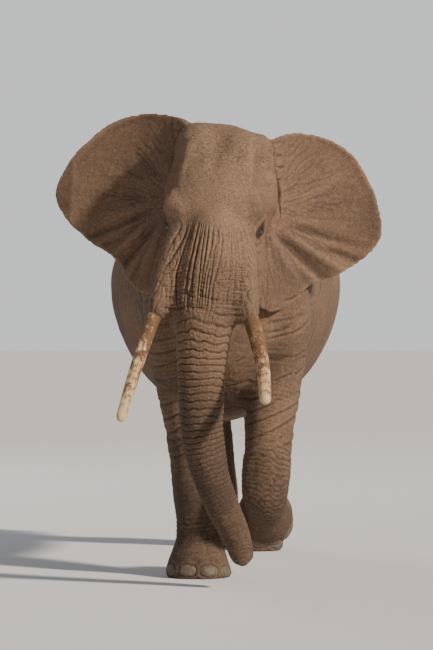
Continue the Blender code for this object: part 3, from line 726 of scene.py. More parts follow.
def leg_relief(where):
    """Rings at wrists and ankles, slanting folds above, and fine lines between."""
    out = np.zeros(len(where.stance))
    for number, name in enumerate(LEGS):
        along, angle, _ = where.places[name]
        limb = where.limbs[name]
        share = where.limb(name, 1.2, 1.5)
        low = limb.length - along
        lean = 0.05 * np.sin(angle + number)
        around = wound(along, angle, 3, 1.5)
        wander = 0.8 * noise(around, 21 + number) + 0.3 * noise(around * 3, 31 + number)
        rings = rolls((low + lean) / 0.034 + wander)
        out += 0.0055 * rings * band(*RING_ZONES[name], low) * share
        slant = rows_of(along + 0.16 * np.cos(angle + 0.8), angle * 0.10, along * 0)
        folds = creases(slant, (0.11, 0.30, 1), 0.15, 41 + number)
        out -= 0.009 * folds * share * step(0.65, 0.95, low)
        lines = creases(rows_of(along, angle * 0.05, along * 0), (0.032, 0.10, 1), 0.14, 51)
        out -= 0.0026 * lines * share * step(0.10, 0.25, low)
    return out


def body_relief(where, normals):
    """Loose hanging folds and the net of creases on the trunk of the body and the neck."""
    stance = where.stance
    limbs = np.zeros(len(stance))
    for name in where.limbs:
        limbs = np.maximum(limbs, where.limb(name, 1.15, 1.5))
    torso = (1 - limbs) * (1 - where.head) * (1 - where.ear)
    side = np.abs(normals[:, 0])
    x, y, z = stance.T
    warp = 0.10 * noise(stance * 1.3, 61)
    ahead = step(0.45, 0.8, np.abs(normals[:, 1]))
    hang = rows_of(x * 0.3, y + warp, z * 0.28)
    upright = rows_of(x + 0.5 * warp, y * 0.3, z * 0.22)
    hang = hang * (1 - ahead)[:, None] + upright * ahead[:, None]
    patchy = 0.25 + 0.75 * step(-0.25, 0.35, noise(stance * 1.7, 74))
    out = -0.0062 * creases(hang, 0.19, 0.10, 62) * torso * (0.25 + 0.75 * side) * patchy
    out -= 0.0030 * creases(stance + warp[:, None], (0.13, 0.055, 0.09), 0.11, 63) * torso
    out -= 0.0022 * creases(stance, 0.045, 0.13, 64) * (torso + 0.5 * limbs)
    out += 0.0025 * noise(stance * 7, 65) * torso
    loose = rows_of(x * 0.3, y + 0.25 * warp, z * 0.14)
    neck = torso * band(-0.5, -0.3, 0.35, 0.7, y)
    return out - 0.0075 * creases(loose, 0.085, 0.12, 66) * neck


def face_relief(where):
    """Fine lines and lumps all over the head, level lines on the crown, a fan on the cheeks."""
    local = where.local
    x, y, z = local.T
    face = where.head * (1 - where.limb("trunk", 1.0, 1.3))
    out = -0.0013 * creases(local, (0.06, 0.06, 0.030), 0.12, 67) * face
    out += 0.0011 * noise(local * 60, 68) * face
    out += 0.003 * noise(local * 11, 69) * face
    crown = face * step(0.15, 0.45, z)
    out -= 0.0030 * creases(local * (0.35, 0.5, 1), 0.035, 0.13, 75) * crown
    out += 0.004 * noise(local * (6, 6, 14), 70) * crown
    cheek = face * (1 - step(-0.25, -0.10, z))
    fan = rows_of(x, y * 0.8 + z * 0.15, z * 0.16)
    return out - 0.0055 * creases(fan, (0.045, 0.045, 0.08), 0.16, 71) * cheek


def ear_relief(where):
    """Lines that fan out over the ears, strongest near their roots."""
    out = np.zeros(len(where.local))
    for name, ear in EARS.items():
        across = (where.local[:, 0] * ear.side - EAR_ROOT_TOP[0]) / ear.spread
        up = where.local[:, 2] - EAR_FAN_Z
        reach = np.hypot(across, up)
        fan = rows_of(np.arctan2(up, across) * 0.45, reach * 0.28, reach * 0)
        depth = 0.0003 + 0.0026 * (1 - step(0.35, 0.75, reach))
        out -= depth * creases(fan, 0.045, 0.15, 72) * where.ears[name]
        out += 0.0010 * noise(where.local * 28, 73) * where.ears[name]
    return out


# Half width, depth and course of each crease, in the head's frame.
DRAWN_CREASES = (
    (
        0.016, 0.022,
        (
            (0.02, -0.30, -0.86), (0.13, -0.26, -0.80), (0.19, -0.18, -0.70),
            (0.225, -0.06, -0.58), (0.235, 0.03, -0.50),
        ),
    ),
    (0.018, 0.014, ((0.350, -0.02, -0.18), (0.342, -0.03, -0.32), (0.325, -0.03, -0.48))),
    (0.012, 0.026, ((0.338, -0.18, -0.23), (0.336, -0.20, -0.33), (0.318, -0.16, -0.48))),
    (0.011, 0.026, ((0.392, 0.130, 0.30), (0.402, 0.135, 0.17), (0.420, 0.122, 0.00))),
    (0.008, 0.018, ((0.345, 0.060, 0.29), (0.390, 0.130, 0.285), (0.440, 0.150, 0.30))),
    (0.008, 0.012, ((0.350, 0.080, 0.40), (0.400, 0.150, 0.37), (0.460, 0.180, 0.40))),
    (0.008, 0.012, ((0.345, 0.090, 0.47), (0.380, 0.140, 0.45), (0.430, 0.180, 0.48))),
    (0.009, 0.009, ((0.350, 0.020, 0.20), (0.375, 0.070, 0.12), (0.385, 0.070, 0.03))),
    (0.008, 0.008, ((0.350, 0.000, -0.02), (0.365, 0.040, -0.12), (0.360, 0.060, -0.22))),
)


def drawn_creases(where):
    """Creases that run where the head's own form puts them, the same on both sides."""
    wobble = rows_of(*(noise(where.local * 14, seed) for seed in (81, 82, 83)))
    both = where.folded() + 0.007 * wobble
    out = np.zeros(len(both))
    for width, depth, points in DRAWN_CREASES:
        line = smooth_rows(points, 6)
        for number, (a, b) in enumerate(zip(line, line[1:])):
            span = b - a
            share = np.clip(((both - a) @ span) / (span @ span), 0, 1)
            away = np.linalg.norm(both - a - share[:, None] * span, axis=1)
            place = np.clip((number + share) / (len(line) - 1), 0.01, 0.99)
            spindle = np.sin(math.pi * place) ** 0.8
            thick = width * (0.45 + 0.55 * spindle)
            out = np.minimum(out, -depth * spindle * bell(away / thick))
    return out


def eyelids(points, side):
    """Opens the skin over an eye, stands the lids off the ball, and folds the skin round it."""
    centre = EYES[side]
    outward, ahead, up = eye_frame(side)
    offset = points - centre
    near = np.flatnonzero((np.linalg.norm(offset, axis=1) < 0.17) & (offset @ outward > -0.01))
    part = offset[near]
    a, b, c = part @ ahead, part @ up, part @ outward
    flat = np.hypot(a, b)
    almond = b / (LID_OPEN * np.clip(1 - (a / LID_LONG) ** 2, 0.02, 1))
    rim = np.hypot(a / LID_LONG, b / LID_OPEN)
    folds = 0.0042 * np.cos(2 * math.pi * (rim**0.62) * 1.15)
    ring = band(1.2, 1.7, 4.0, 7.0, rim)
    bag = 1.0 + 0.7 * step(0.0, 0.03, -b)
    part = part + outward * (folds * ring * bag)[:, None]
    pouch = bell((b - 0.036) / 0.014) * bell(a / 0.060)
    under = bell((b + 0.036) / 0.016) * bell((a - 0.005) / 0.050)
    part += outward * (0.012 * pouch + 0.007 * under)[:, None]
    c = part @ outward
    lid = EYE_RADIUS + 0.0045
    ball = np.sqrt(np.clip(lid**2 - flat**2, 0, None))
    free = step(0.6, 1.6, flat / lid)
    stand = np.maximum(c, ball) * (1 - free) + c * free
    open_share = 1 - step(0.85, 1.12, np.maximum(np.abs(almond), np.abs(a) / LID_LONG))
    sunk = np.sqrt(np.clip((EYE_RADIUS - 0.006) ** 2 - flat**2, 0, None))
    depth = stand * (1 - open_share) + np.minimum(sunk, stand) * open_share
    part += outward * (depth - c)[:, None]
    tear = np.abs(a - 0.036 - 0.25 * (-b - 0.01)) / 0.006
    gutter = bell(tear) * band(0.008, 0.02, 0.07, 0.13, -b)
    part -= outward * (0.005 * gutter)[:, None]
    points[near] = centre + part
    # Dark skin round the lids and along the tear gutter: partly tear-stained, partly painted shade
    # of the sunken socket.
    tear_stain_and_shade = 0.92 * (1 - step(1.25, 2.5, rim)) + 0.30 * gutter
    return near, np.maximum(open_share, tear_stain_and_shade)


# Half the gap between the nostrils, and the radius and depth of one.
NOSTRIL_ASIDE = 0.030
NOSTRIL_RADIUS = 0.020
NOSTRIL_DEPTH = 0.050


def nostrils(points, where):
    """The two openings at the end of the trunk."""
    limb = where.limbs["trunk"]
    end = limb.rows[-1, :3]
    axis, side = limb.tangent[-1], limb.side[-1]
    offset = where.stance - end
    for sign in (-1, 1):
        away = offset - sign * NOSTRIL_ASIDE * side
        flat = np.linalg.norm(away - (away @ axis)[:, None] * axis, axis=1)
        at_tip = away @ axis > -0.045
        deep = NOSTRIL_DEPTH * bell((flat / NOSTRIL_RADIUS) ** 2) * at_tip
        points -= axis * deep[:, None]
    return points


def nail_frame(name):
    """The middle of a toenail, and unit vectors into its foot and on towards the sole."""
    middle = middle_of(name)
    limb = Limb(LEGS[name.rsplit("_", 1)[0].replace("nail_", "")])
    path = limb.rows[:, :3] + STANCE
    nearest = np.linalg.norm(path - middle, axis=1).argmin()
    down = limb.tangent[nearest]
    inward = path[nearest] - middle
    inward -= (inward @ down) * down
    return middle, unit(inward), down


def nail_beds(points, normals):
    """Skin swells a little round each toenail and sinks under it."""
    out = np.zeros(len(points))
    for name in NAIL_NODES:
        middle, inward, down = nail_frame(name)
        offset = points - middle - down * NAIL_DROP
        sides = np.array((np.cross(inward, down), down, inward))
        near = np.linalg.norm(offset @ sides.T / NAIL_BED, axis=1)
        out += 0.005 * bell((near - 1.15) / 0.20)
        out -= 0.004 * (1 - step(0.7, 1.0, near))
    return points + normals * np.clip(out, -0.01, 0.010)[:, None]


def finer(mesh):
    """The skin with finer faces on the face and trunk, and finer again round the eyes."""
    where = Regions(points_of(mesh))
    x, y, z = where.local.T
    face = (np.abs(x) < 0.46) & (y < 0.02) & (z > -1.0) & (z < 0.75) & (where.ear < 0.5)
    along, _, out = where.places["trunk"]
    mesh = refined(mesh, face | ((out < 1.35) & (along > 0)))
    for reach in EYE_REFINING:
        mesh = refined(mesh, from_eyes(points_of(mesh)) < reach)
    return mesh


def mark_skin(mesh, points, normals, where, dark):
    """Keeps with the skin what its material reads: creases, hollows and ear fronts for painted
    shade, darkening towards the bottom, pale powder with painted light on the face's front, and the
    dark round the eyes.
    """
    edges = edges_of(mesh)
    # Small creases, to be darkened in the hide as painted shade, and ridges, where pale powder
    # lies.
    valley = ((smoothed(points, edges, 2, 0.7) - points) * normals).sum(1)
    mark(mesh, "valley", smoothed(np.clip(valley / 0.0016, -1, 1), edges, 1, 0.4))
    # Broad hollows, and the fronts of the ears, are marked to be darkened as painted shade.
    deep = ((smoothed(points, edges, 14, 0.8) - points) * normals).sum(1)
    shade = 0.30 * where.ear * step(0.0, 0.6, -normals[:, 1])
    mark(mesh, "deep", np.clip(deep / 0.006 + shade, -1, 1))
    z = where.stance[:, 2]
    legs = np.maximum.reduce([where.limb(name) for name in LEGS])
    leg_low = legs * (0.35 + 0.65 * (1 - step(0.4, 1.5, z)))
    trunk_low = where.limb("trunk") * (1 - step(0.7, 2.1, z))
    body_low = 0.45 * (1 - step(1.1, 2.6, z))
    mark(mesh, "low", np.maximum.reduce([leg_low, trunk_low, body_low]))
    # Pale powder on the upper sides, and painted light on the front plane of the face, which is
    # kept lighter than its sides.
    bridge = where.head * step(-0.5, 0.1, where.local[:, 2]) * step(0.2, 0.9, -normals[:, 1])
    bridge *= 1 - 0.8 * step(0.21, 0.30, np.abs(where.local[:, 0]))
    mark(mesh, "dust", np.maximum(step(0.1, 0.9, normals[:, 2]), bridge))
    # The dark round the eyes, partly tear-stained skin and partly painted shade, with painted shade
    # along the drawn creases.
    mark(mesh, "lid", dark)


def skin_mesh(depth):
    """The finished skin: its forms, folds, lids, map and the numbers its material reads."""
    mesh = finer(whole_body())
    points = softened(points_of(mesh), edges_of(mesh), 3, 0.5)
    put_points(mesh, points)
    points = sculpt(points, normals_of(mesh), Regions(points))
    put_points(mesh, points)
    where = Regions(points)
    normals = unit(smoothed(normals_of(mesh), edges_of(mesh), 4, 0.6))
    drawn = drawn_creases(where)
    relief = trunk_relief(where) + leg_relief(where) + body_relief(where, normals)
    relief += face_relief(where) + ear_relief(where) + drawn
    relief *= depth * step(0.035, 0.075, from_eyes(points)) * step(0.012, 0.05, points[:, 2])
    points = nail_beds(points + normals * relief[:, None], normals)
    # Painted shade along the drawn creases, kept with the dark round the eyes.
    dark = 0.28 * np.clip(-drawn / 0.034, 0, 1)
    for side in EYES:
        near, share = eyelids(points, side)
        dark[near] = np.maximum(dark[near], share)
    points = nostrils(points, where)
    points[:, 2] = np.maximum(points[:, 2], SOLE_LIFT)
    put_points(mesh, points)
    mark_skin(mesh, points, normals, where, dark)
    map_skin(mesh, where)
    return rounded(mesh)


# ---------------------------------------------------------------- the map of the skin
# Corner of each region's chart, and its scale, on a square sheet SHEET metres wide.
SHEET = 9.2
CHARTS = {
    "torso": (0.05, 0.05, 1.0),
    "fore_right": (5.85, 0.05, 1.0),
    "fore_left": (7.50, 0.05, 1.0),
    "hind_right": (5.85, 2.80, 1.0),
    "hind_left": (7.50, 2.80, 1.0),
    "head": (0.05, 5.55, 1.2),
    "trunk": (3.85, 5.55, 1.2),
    "front_left": (5.45, 5.55, 1.1),
    "front_right": (6.75, 5.55, 1.1),
    "back_left": (5.45, 7.35, 1.1),
    "back_right": (6.75, 7.35, 1.1),
    "tail": (8.60, 5.55, 1.0),
}


def chart_values(where, normals):
    """For each point: its region's number, and how far along and round that region it lies."""
    count = len(where.stance)
    region = np.zeros(count, int)
    turn, rise, girth = np.zeros(count), np.zeros(count), np.full(count, 0.86)
    names = list(CHARTS)
    x, y, z = where.stance.T
    across, up = x - SPINE_X, z - 2.15
    cap = np.clip((y - 1.2) / 1.2, -1, 1)
    turn[:] = np.arctan2(across, -up)
    rise[:] = y + 0.75 + 0.95 + (0.95 - np.clip(np.hypot(across, up), 0, 0.95)) * cap
    on_head = where.head > 0.5
    local = where.local
    out = np.hypot(local[:, 0], local[:, 1])
    region[on_head] = names.index("head")
    turn[on_head] = np.arctan2(local[:, 0], -local[:, 1])[on_head]
    top = np.clip((local[:, 2] - 0.2) / 0.3, 0, 1)
    rise[on_head] = (local[:, 2] + 1.05 + (0.45 - np.clip(out, 0, 0.45)) * top)[on_head]
    girth[on_head] = 0.44
    for name in (*LEGS, "tail", "trunk"):
        along, angle, far = where.places[name]
        held = (where.limb(name, 1.25, 1.5) > 0.5) & (along > (0.45 if name in LEGS else 0.02))
        region[held] = names.index(name)
        turn[held] = angle[held]
        rise[held] = (along + 0.3 * (1 - np.clip(far, 0, 1)))[held]
        girth[held] = {"tail": 0.035, "trunk": 0.155}.get(name, 0.20)
    facing = normals[:, 1] < 0
    for name, ear in EARS.items():
        held = where.ears[name] > 0.5
        for side, chosen in (("front", held & facing), ("back", held & ~facing)):
            region[chosen] = names.index(f"{side}_{name}")
            turn[chosen] = (local[:, 0] * ear.side - 0.20)[chosen]
            rise[chosen] = (local[:, 2] + 0.68)[chosen]
            girth[chosen] = 0.0
    return region, turn, rise, girth


def chart_places(region, turn, rise, girth):
    """Places on the sheet, 0 to 1, of points told by region, turn and rise."""
    table = np.array([CHARTS[name] for name in CHARTS])
    corner, scale = table[region, :2], table[region, 2]
    wide = np.where(girth > 0, (turn + math.pi) * girth, turn)
    return (corner + rows_of(wide, rise) * scale[:, None]) / SHEET


def map_skin(mesh, where):
    """Gives the skin its map: a chart for each region, cut where the region joins itself."""
    region, turn, rise, girth = chart_values(where, normals_of(mesh))
    corners = values_of(mesh.loops, "vertex_index", kind=np.int64)
    first = values_of(mesh.polygons, "loop_start", kind=np.int64)
    sizes = values_of(mesh.polygons, "loop_total", kind=np.int64)
    lead = np.repeat(corners[first], sizes)
    same = region[corners] == region[lead]
    gap = turn[corners] - turn[lead]
    around = girth[lead] > 0
    gap = np.where(around, (gap + math.pi) % (2 * math.pi) - math.pi, gap)
    gap = np.where(same, gap, 0.01)
    lift = np.where(same, rise[corners] - rise[lead], 0.004)
    places = chart_places(region[lead], turn[lead] + gap, rise[lead] + lift, girth[lead])
    layer = mesh.uv_layers.new(name="OFBake")
    layer.data.foreach_set("uv", np.clip(places, 0.0005, 0.9995).ravel())


# ---------------------------------------------------------------- materials
# The places of a colour mix's two colours and of its result among a Mix node's sockets.
MIX_COLOURS = (6, 7)
MIX_RESULT = 2


class Value:
    """One output of a material's nodes, on which sums can be written."""

    def __init__(self, paint, output):
        self.paint = paint
        self.output = output

    def _join(self, operation, *values, clamp=False):
        settings = {"operation": operation, "use_clamp": clamp}
        return self.paint.node("ShaderNodeMath", settings, *values)

    def __add__(self, other):
        return self._join("ADD", self, other)

    __radd__ = __add__

    def __sub__(self, other):
        return self._join("SUBTRACT", self, other)

    def __rsub__(self, other):
        return self._join("SUBTRACT", other, self)

    def __mul__(self, other):
        return self._join("MULTIPLY", self, other)

    __rmul__ = __mul__

    def clamped(self):
        return self._join("MULTIPLY", self, 1.0, clamp=True)


class Nodes:
    """A tree of nodes under construction, and the shader at its end."""

    def __init__(self, owner, shader):
        owner.use_nodes = True
        self.tree = owner.node_tree
        self.shader = self.tree.nodes[shader]

    def node(self, kind, settings, *values, out=0, **named):
        """Adds a node: its settings first, then the values or links of its sockets."""
        made = self.tree.nodes.new(kind)
        for key, value in settings.items():
            if key == "stops":
                ramp = made.color_ramp
                while len(ramp.elements) < len(value):
                    ramp.elements.new(1.0)
                for stop, (place, colour) in zip(ramp.elements, value):
                    stop.position, stop.color = place, colour
            else:
                setattr(made, key, value)
        places = {**dict(enumerate(values)), **{k.replace("_", " "): v for k, v in named.items()}}
        for place, value in places.items():
            self.feed(made.inputs[place], value)
        return Value(self, made.outputs[out])

    def feed(self, socket, value):
        """Links a value to a socket, or sets the socket to a number or colour."""
        if isinstance(value, Value):
            self.tree.links.new(value.output, socket)
        else:
            socket.default_value = value

    def shade(self, **inputs):
        """Feeds the shader's own sockets."""
        for name, value in inputs.items():
            self.feed(self.shader.inputs[name.replace("_", " ")], value)


class Paint(Nodes):
    """A material under construction."""

    def __init__(self, name, **uniform):
        self.material = bpy.data.materials.new(name)
        super().__init__(self.material, "Principled BSDF")
        self.shade(**uniform)

    def place(self, stretch=(1, 1, 1)):
        """The place in the object's own space, stretched along its axes."""
        spot = self.node("ShaderNodeTexCoord", {}, out="Object")
        if stretch == (1, 1, 1):
            return spot
        return self.vectors("MULTIPLY", spot, stretch)

    def vectors(self, operation, *values, **named):
        return self.node("ShaderNodeVectorMath", {"operation": operation}, *values, **named)

    def kept(self, name, out="Fac"):
        """A number kept with each point of the mesh."""
        return self.node("ShaderNodeAttribute", {"attribute_name": name}, out=out)

    def cloud(self, place, scale, detail, rough=0.55, out="Fac"):
        """Soft noise, about 0.5 on the whole."""
        fed = {"Vector": place, "Scale": scale, "Detail": detail, "Roughness": rough}
        return self.node("ShaderNodeTexNoise", {}, out=out, **fed)

    def cracks(self, place, scale, width):
        """1 along the edges of a net of cells, 0 inside them."""
        settings = {"feature": "DISTANCE_TO_EDGE"}
        edge = self.node("ShaderNodeTexVoronoi", settings, Vector=place, Scale=scale)
        return 1 - self.spread(edge, 0.0, width)

    def spread(self, value, low, high):
        """A smooth rise from 0 at low to 1 at high."""
        settings = {"interpolation_type": "SMOOTHSTEP"}
        return self.node("ShaderNodeMapRange", settings, value, low, high, 0.0, 1.0)

    def mix(self, share, a, b):
        """The colour a, with a share of b laid over it."""
        settings = {"data_type": "RGBA", "blend_type": "MIX", "clamp_factor": True}
        made = self.node("ShaderNodeMix", settings, share, out=MIX_RESULT)
        for place, shade in zip(MIX_COLOURS, (a, b)):
            self.feed(made.output.node.inputs[place], shade)
        return made

    def layered(self, tone, *layers):
        """A colour with shares of others laid over it in turn."""
        for share, over in layers:
            tone = self.mix(share, tone, over)
        return tone

    def wobbled(self, place, scale, amount):
        """The place, pushed about by noise so that straight lines wander."""
        drift = self.cloud(place, scale, 2.0, 0.5, out="Color")
        centred = self.vectors("SUBTRACT", drift, (0.5, 0.5, 0.5))
        return self.vectors("ADD", place, self.vectors("SCALE", centred, Scale=amount))

    def bumped(self, height, depth):
        """The normal of a surface raised by height, which is depth metres for 1."""
        fed = {"Strength": 1.0, "Distance": depth, "Height": height}
        return self.node("ShaderNodeBump", {}, out="Normal", **fed)


def hide_finish(colours, fine):
    """Dry wrinkled hide: a net of cracks, pale powder on ridges and tops with painted light on the
    face's front, painted highlights on raised pebbles, painted shade in creases, cracks and
    hollows, and tear-stained, shaded skin round the eyes.
    """
    paint = Paint("hide", Specular_IOR_Level=0.28)
    place = paint.place()
    wandering = paint.wobbled(place, 16.0, 0.012)
    plates = paint.cracks(wandering, 40.0, 0.09)
    scales = paint.cracks(wandering, 88.0, 0.15)
    grain = paint.cracks(place, 190.0, 0.22)
    patches = paint.cloud(place, 2.2, 5.0)
    motes = paint.cloud(place, 34.0, 5.0, 0.65)
    specks = paint.cloud(place, 240.0, 3.0, 0.7)
    pebbles = paint.cloud(place, 95.0, 2.0, 0.6)
    valley = paint.kept("valley")
    ridge = (valley * -1.0).clamped()
    crease = valley.clamped()
    deep = paint.kept("deep").clamped()
    low, dust, lid = (paint.kept(name).clamped() for name in ("low", "dust", "lid"))

    # Pale powder on ridges and upper sides; on the front of the face it is painted light.
    powder = paint.spread(motes * 0.6 + patches * 0.4 + dust * 0.22 + ridge * 0.16, 0.44, 0.72)
    # The net of cracks, darkened as painted shade.
    net = plates * 0.20 + scales * 0.22 + grain * 0.12
    # Light specks on the raised pebbles, partly pale powder and partly painted highlight; painted
    # shade in the hollows between the pebbles.
    speck_dust_and_highlights = paint.spread(specks, 0.55, 0.70) * 0.34 + paint.spread(pebbles, 0.53, 0.63) * 0.50
    pit_shade = paint.spread(1 - pebbles, 0.53, 0.62) * 0.8 + paint.spread(1 - specks, 0.56, 0.66) * 0.5
    tone = paint.layered(
        colours.hide,
        (paint.spread(patches, 0.35, 0.65), colours.hide_warm),
        (low * 0.85, colours.hide_low),
        (powder * (0.50 - low * 0.25), colours.dust),
        # Painted shade: creases, broad hollows with the ear fronts, and cracks are darkened.
        (crease * 0.62, colours.crease),
        (deep * 0.40, colours.crease),
        (net * (0.75 + patches * 0.3), colours.crease),
        (speck_dust_and_highlights * (0.30 + dust * 0.75 - low * 0.20), colours.dust),
        (pit_shade * (0.14 + dust * 0.26), colours.crease),
        # Round the eyes: tear-stained skin and painted shade of the sockets, and painted shade
        # along the drawn creases.
        (lid * 0.95, colours.crease),
    )
    shell = 1 - (plates * 0.40 + scales * 0.36 + grain * 0.16)
    height = shell + motes * 0.22 + specks * 0.10 + pebbles * 0.45
    paint.shade(
        Base_Color=tone,
        Roughness=(0.74 + specks * 0.20 - crease * 0.10).clamped(),
        Normal=paint.bumped(height, 0.0026 * fine),
    )
    return paint.material


def ivory_finish(colours):
    """Old ivory: cream at the worn tip, brown and flaking towards the socket, long fine cracks."""
    paint = Paint("ivory", Specular_IOR_Level=0.45)
    place = paint.place()
    grain = paint.kept("grain", "Vector")
    reach = paint.kept("reach")
    strands = paint.cloud(grain, 5.0, 6.0, 0.7)
    splits = paint.cracks(paint.wobbled(grain, 4.0, 0.25), 7.0, 0.035)
    blotch = paint.cloud(place, 16.0, 5.0, 0.65)
    fleck = paint.cloud(place, 70.0, 4.0, 0.7)
    brown = paint.spread(blotch * 0.55 + strands * 0.45 + (0.90 - reach) * 0.26, 0.49, 0.60)
    bark = paint.spread(fleck * 0.5 + blotch * 0.5 + (0.84 - reach) * 0.22, 0.52, 0.60)
    tone = paint.layered(
        colours.ivory,
        (paint.spread(strands, 0.35, 0.7), colours.ivory_worn),
        (brown * 0.92, colours.ivory_stain),
        (bark * 0.75, colours.ivory_bark),
        (splits * (0.25 + brown * 0.5), colours.ivory_bark),
    )
    height = strands * 0.5 + bark * 0.7 - splits * 0.8 + fleck * 0.15
    paint.shade(
        Base_Color=tone,
        Roughness=(0.34 + brown * 0.28 + bark * 0.18).clamped(),
        Normal=paint.bumped(height, 0.0016),
    )
    return paint.material


def nail_finish(colours):
    """Toenail: pale horn with upright streaks, chips and dirt."""
    paint = Paint("nail", Specular_IOR_Level=0.35)
    streaks = paint.cloud(paint.place((1, 1, 0.10)), 120.0, 4.0, 0.6)
    motes = paint.cloud(paint.place(), 55.0, 5.0, 0.65)
    splits = paint.cracks(paint.place((1, 1, 0.12)), 60.0, 0.05)
    tone = paint.layered(
        colours.nail,
        (paint.spread(streaks, 0.35, 0.65), colours.nail_dark),
        (paint.spread(motes, 0.50, 0.70) * 0.6, colours.hide_low),
        # Painted shade in the splits.
        (splits * 0.4, colours.crease),
    )
    paint.shade(
        Base_Color=tone,
        Roughness=(0.52 + motes * 0.25).clamped(),
        Normal=paint.bumped(streaks * 0.8 + motes * 0.4 - splits, 0.0015),
    )
    return paint.material


def eye_finish(colours):
    """A wet eye: round dark pupil, brown iris with fine rays, dim white beyond it."""
    paint = Paint("eye", Specular_IOR_Level=0.4, Coat_Weight=0.7, Coat_Roughness=0.03)
    gaze = paint.kept("gaze")
    rays = paint.cloud(paint.kept("rays", "Vector"), 7.0, 4.0, 0.6)
    iris = paint.mix(paint.spread(rays, 0.35, 0.68), colours.iris, colours.iris_dark)
    tone = paint.layered(
        colours.eye_white,
        (paint.spread(gaze, 0.60, 0.72), colours.iris_dark),
        (paint.spread(gaze, 0.68, 0.78), iris),
        (paint.spread(gaze + rays * 0.01, 0.925, 0.945), colours.pupil),
    )
    paint.shade(Base_Color=tone, Roughness=(0.10 + rays * 0.08).clamped())
    return paint.material


def hair_finish(colours):
    """Coarse dark hair, a little paler here and there."""
    paint = Paint("hair", Specular_IOR_Level=0.4)
    drift = paint.cloud(paint.place(), 90.0, 2.0)
    tone = paint.mix(drift, colours.hair, colours.hair_pale)
    streak = paint.cloud(paint.place(), 600.0, 2.0)
    paint.shade(
        Base_Color=tone, Roughness=(0.42 + streak * 0.25).clamped(),
        Normal=paint.bumped(streak, 0.0003),
    )
    return paint.material


def floor_finish(colours):
    """The studio floor: pale, matt, very slightly uneven."""
    paint = Paint("studio_floor", Specular_IOR_Level=0.15)
    cloud = paint.cloud(paint.place(), 0.8, 4.0)
    grit = paint.cloud(paint.place(), 90.0, 3.0)
    tone = paint.mix(cloud * 0.5 + grit * 0.2, colours.floor, colours.floor_worn)
    paint.shade(
        Base_Color=tone, Roughness=(0.80 + grit * 0.12).clamped(),
        Normal=paint.bumped(grit, 0.0006),
    )
    return paint.material


# ---------------------------------------------------------------- separate pieces
def tube(rows, sides, relief):
    """(points, faces, along, angle) of a closed tube through rows of place and girth."""
    path, radius = rows[:, :3], rows[:, 3]
    tangent = unit(np.gradient(path, axis=0))
    side = unit(np.cross(tangent, (0, 0, 1.0)))
    over = np.cross(tangent, side)
    angle = np.arange(sides) * 2 * math.pi / sides
    share = np.repeat(np.linspace(0, 1, len(rows)), sides)
    turn = np.tile(angle, len(rows))
    out = np.repeat(radius, sides) * relief(share, turn)
    ray = np.repeat(side, sides, 0) * np.cos(turn)[:, None]
    ray += np.repeat(over, sides, 0) * np.sin(turn)[:, None]
    points = np.repeat(path, sides, 0) + ray * out[:, None]
    faces = [tuple(range(sides))]
    for r in range(len(rows) - 1):
        for c in range(sides):
            n = (c + 1) % sides
            a, b = r * sides, (r + 1) * sides
            faces.append((a + c, b + c, b + n, a + n))
    faces.append(tuple(range(len(points) - 1, len(points) - sides - 1, -1)))
    return points, faces, share, turn


def tusk_mesh(side):
    """One tusk with shallow ridges, growth swellings and a worn round tip."""
    girth, points = TUSKS[side]
    base = (math.copysign(TUSK_BASE[0], points[0][0]), *TUSK_BASE[1:])
    curve = smooth_rows(smooth_rows((base, *points), 2), 16)
    place = np.linspace(0, 1, len(curve))
    radius = girth * (TUSK_RADIUS + (TUSK_TIP_RADIUS - TUSK_RADIUS) * place**1.5)
    end = np.linalg.norm(curve - curve[-1], axis=1)
    cap = radius[-1]
    round_off = np.sqrt(np.clip(1 - np.clip(1 - end / (1.6 * cap), 0, 1) ** 2.2, 0.0004, 1))
    rows = np.hstack([curve, (radius * round_off)[:, None]])

    def relief(share, turn):
        flutes = noise(wound(share, turn, 3, 2.2), 81 if side == "left" else 82)
        chips = noise(wound(share, turn, 26, 3), 83)
        worn = 1 - step(0.55, 0.95, share)
        return 1 + 0.035 * flutes * (0.4 + 0.6 * worn) + 0.022 * chips * worn

    verts, faces, share, turn = tube(rows, 44, relief)
    mesh = mesh_of(f"tusk_{side}", head_to_world(verts), faces)
    mark(mesh, "reach", share)
    mark(mesh, "grain", rows_of(np.cos(turn), np.sin(turn), share * 1.6 + len(side)))
    return rounded(mesh)


def eye_frame(side):
    """Unit vectors out of the eye, towards the trunk along the lids, and up."""
    sign = 1 if side == "left" else -1
    turn = HEAD_TO_STANCE[:3, :3]
    outward = unit(turn @ np.array((sign * 0.86, -0.50, 0.06)))
    ahead = turn @ np.array((0, -1.0, -0.62))
    ahead = unit(ahead - (ahead @ outward) * outward)
    up = np.cross(outward, ahead)
    return outward, ahead, up if up[2] > 0 else -up


def eye_mesh(side, radius):
    """An eyeball with a raised cornea."""
    outward, ahead, up = eye_frame(side)
    bm = bmesh.new()
    bmesh.ops.create_icosphere(bm, subdivisions=5, radius=radius)
    mesh = mesh_from(f"eyeball_{side}", bm)
    points = points_of(mesh)
    gaze = points @ outward / radius
    rays = np.arctan2(points @ up, points @ ahead)
    points = points * (1 + 0.05 * step(0.62, 0.95, gaze))[:, None]
    put_points(mesh, points + EYES[side])
    mark(mesh, "gaze", gaze)
    mark(mesh, "rays", rows_of(np.cos(rays) * 2.4, np.sin(rays) * 2.4, gaze * 0.8))
    return rounded(mesh)


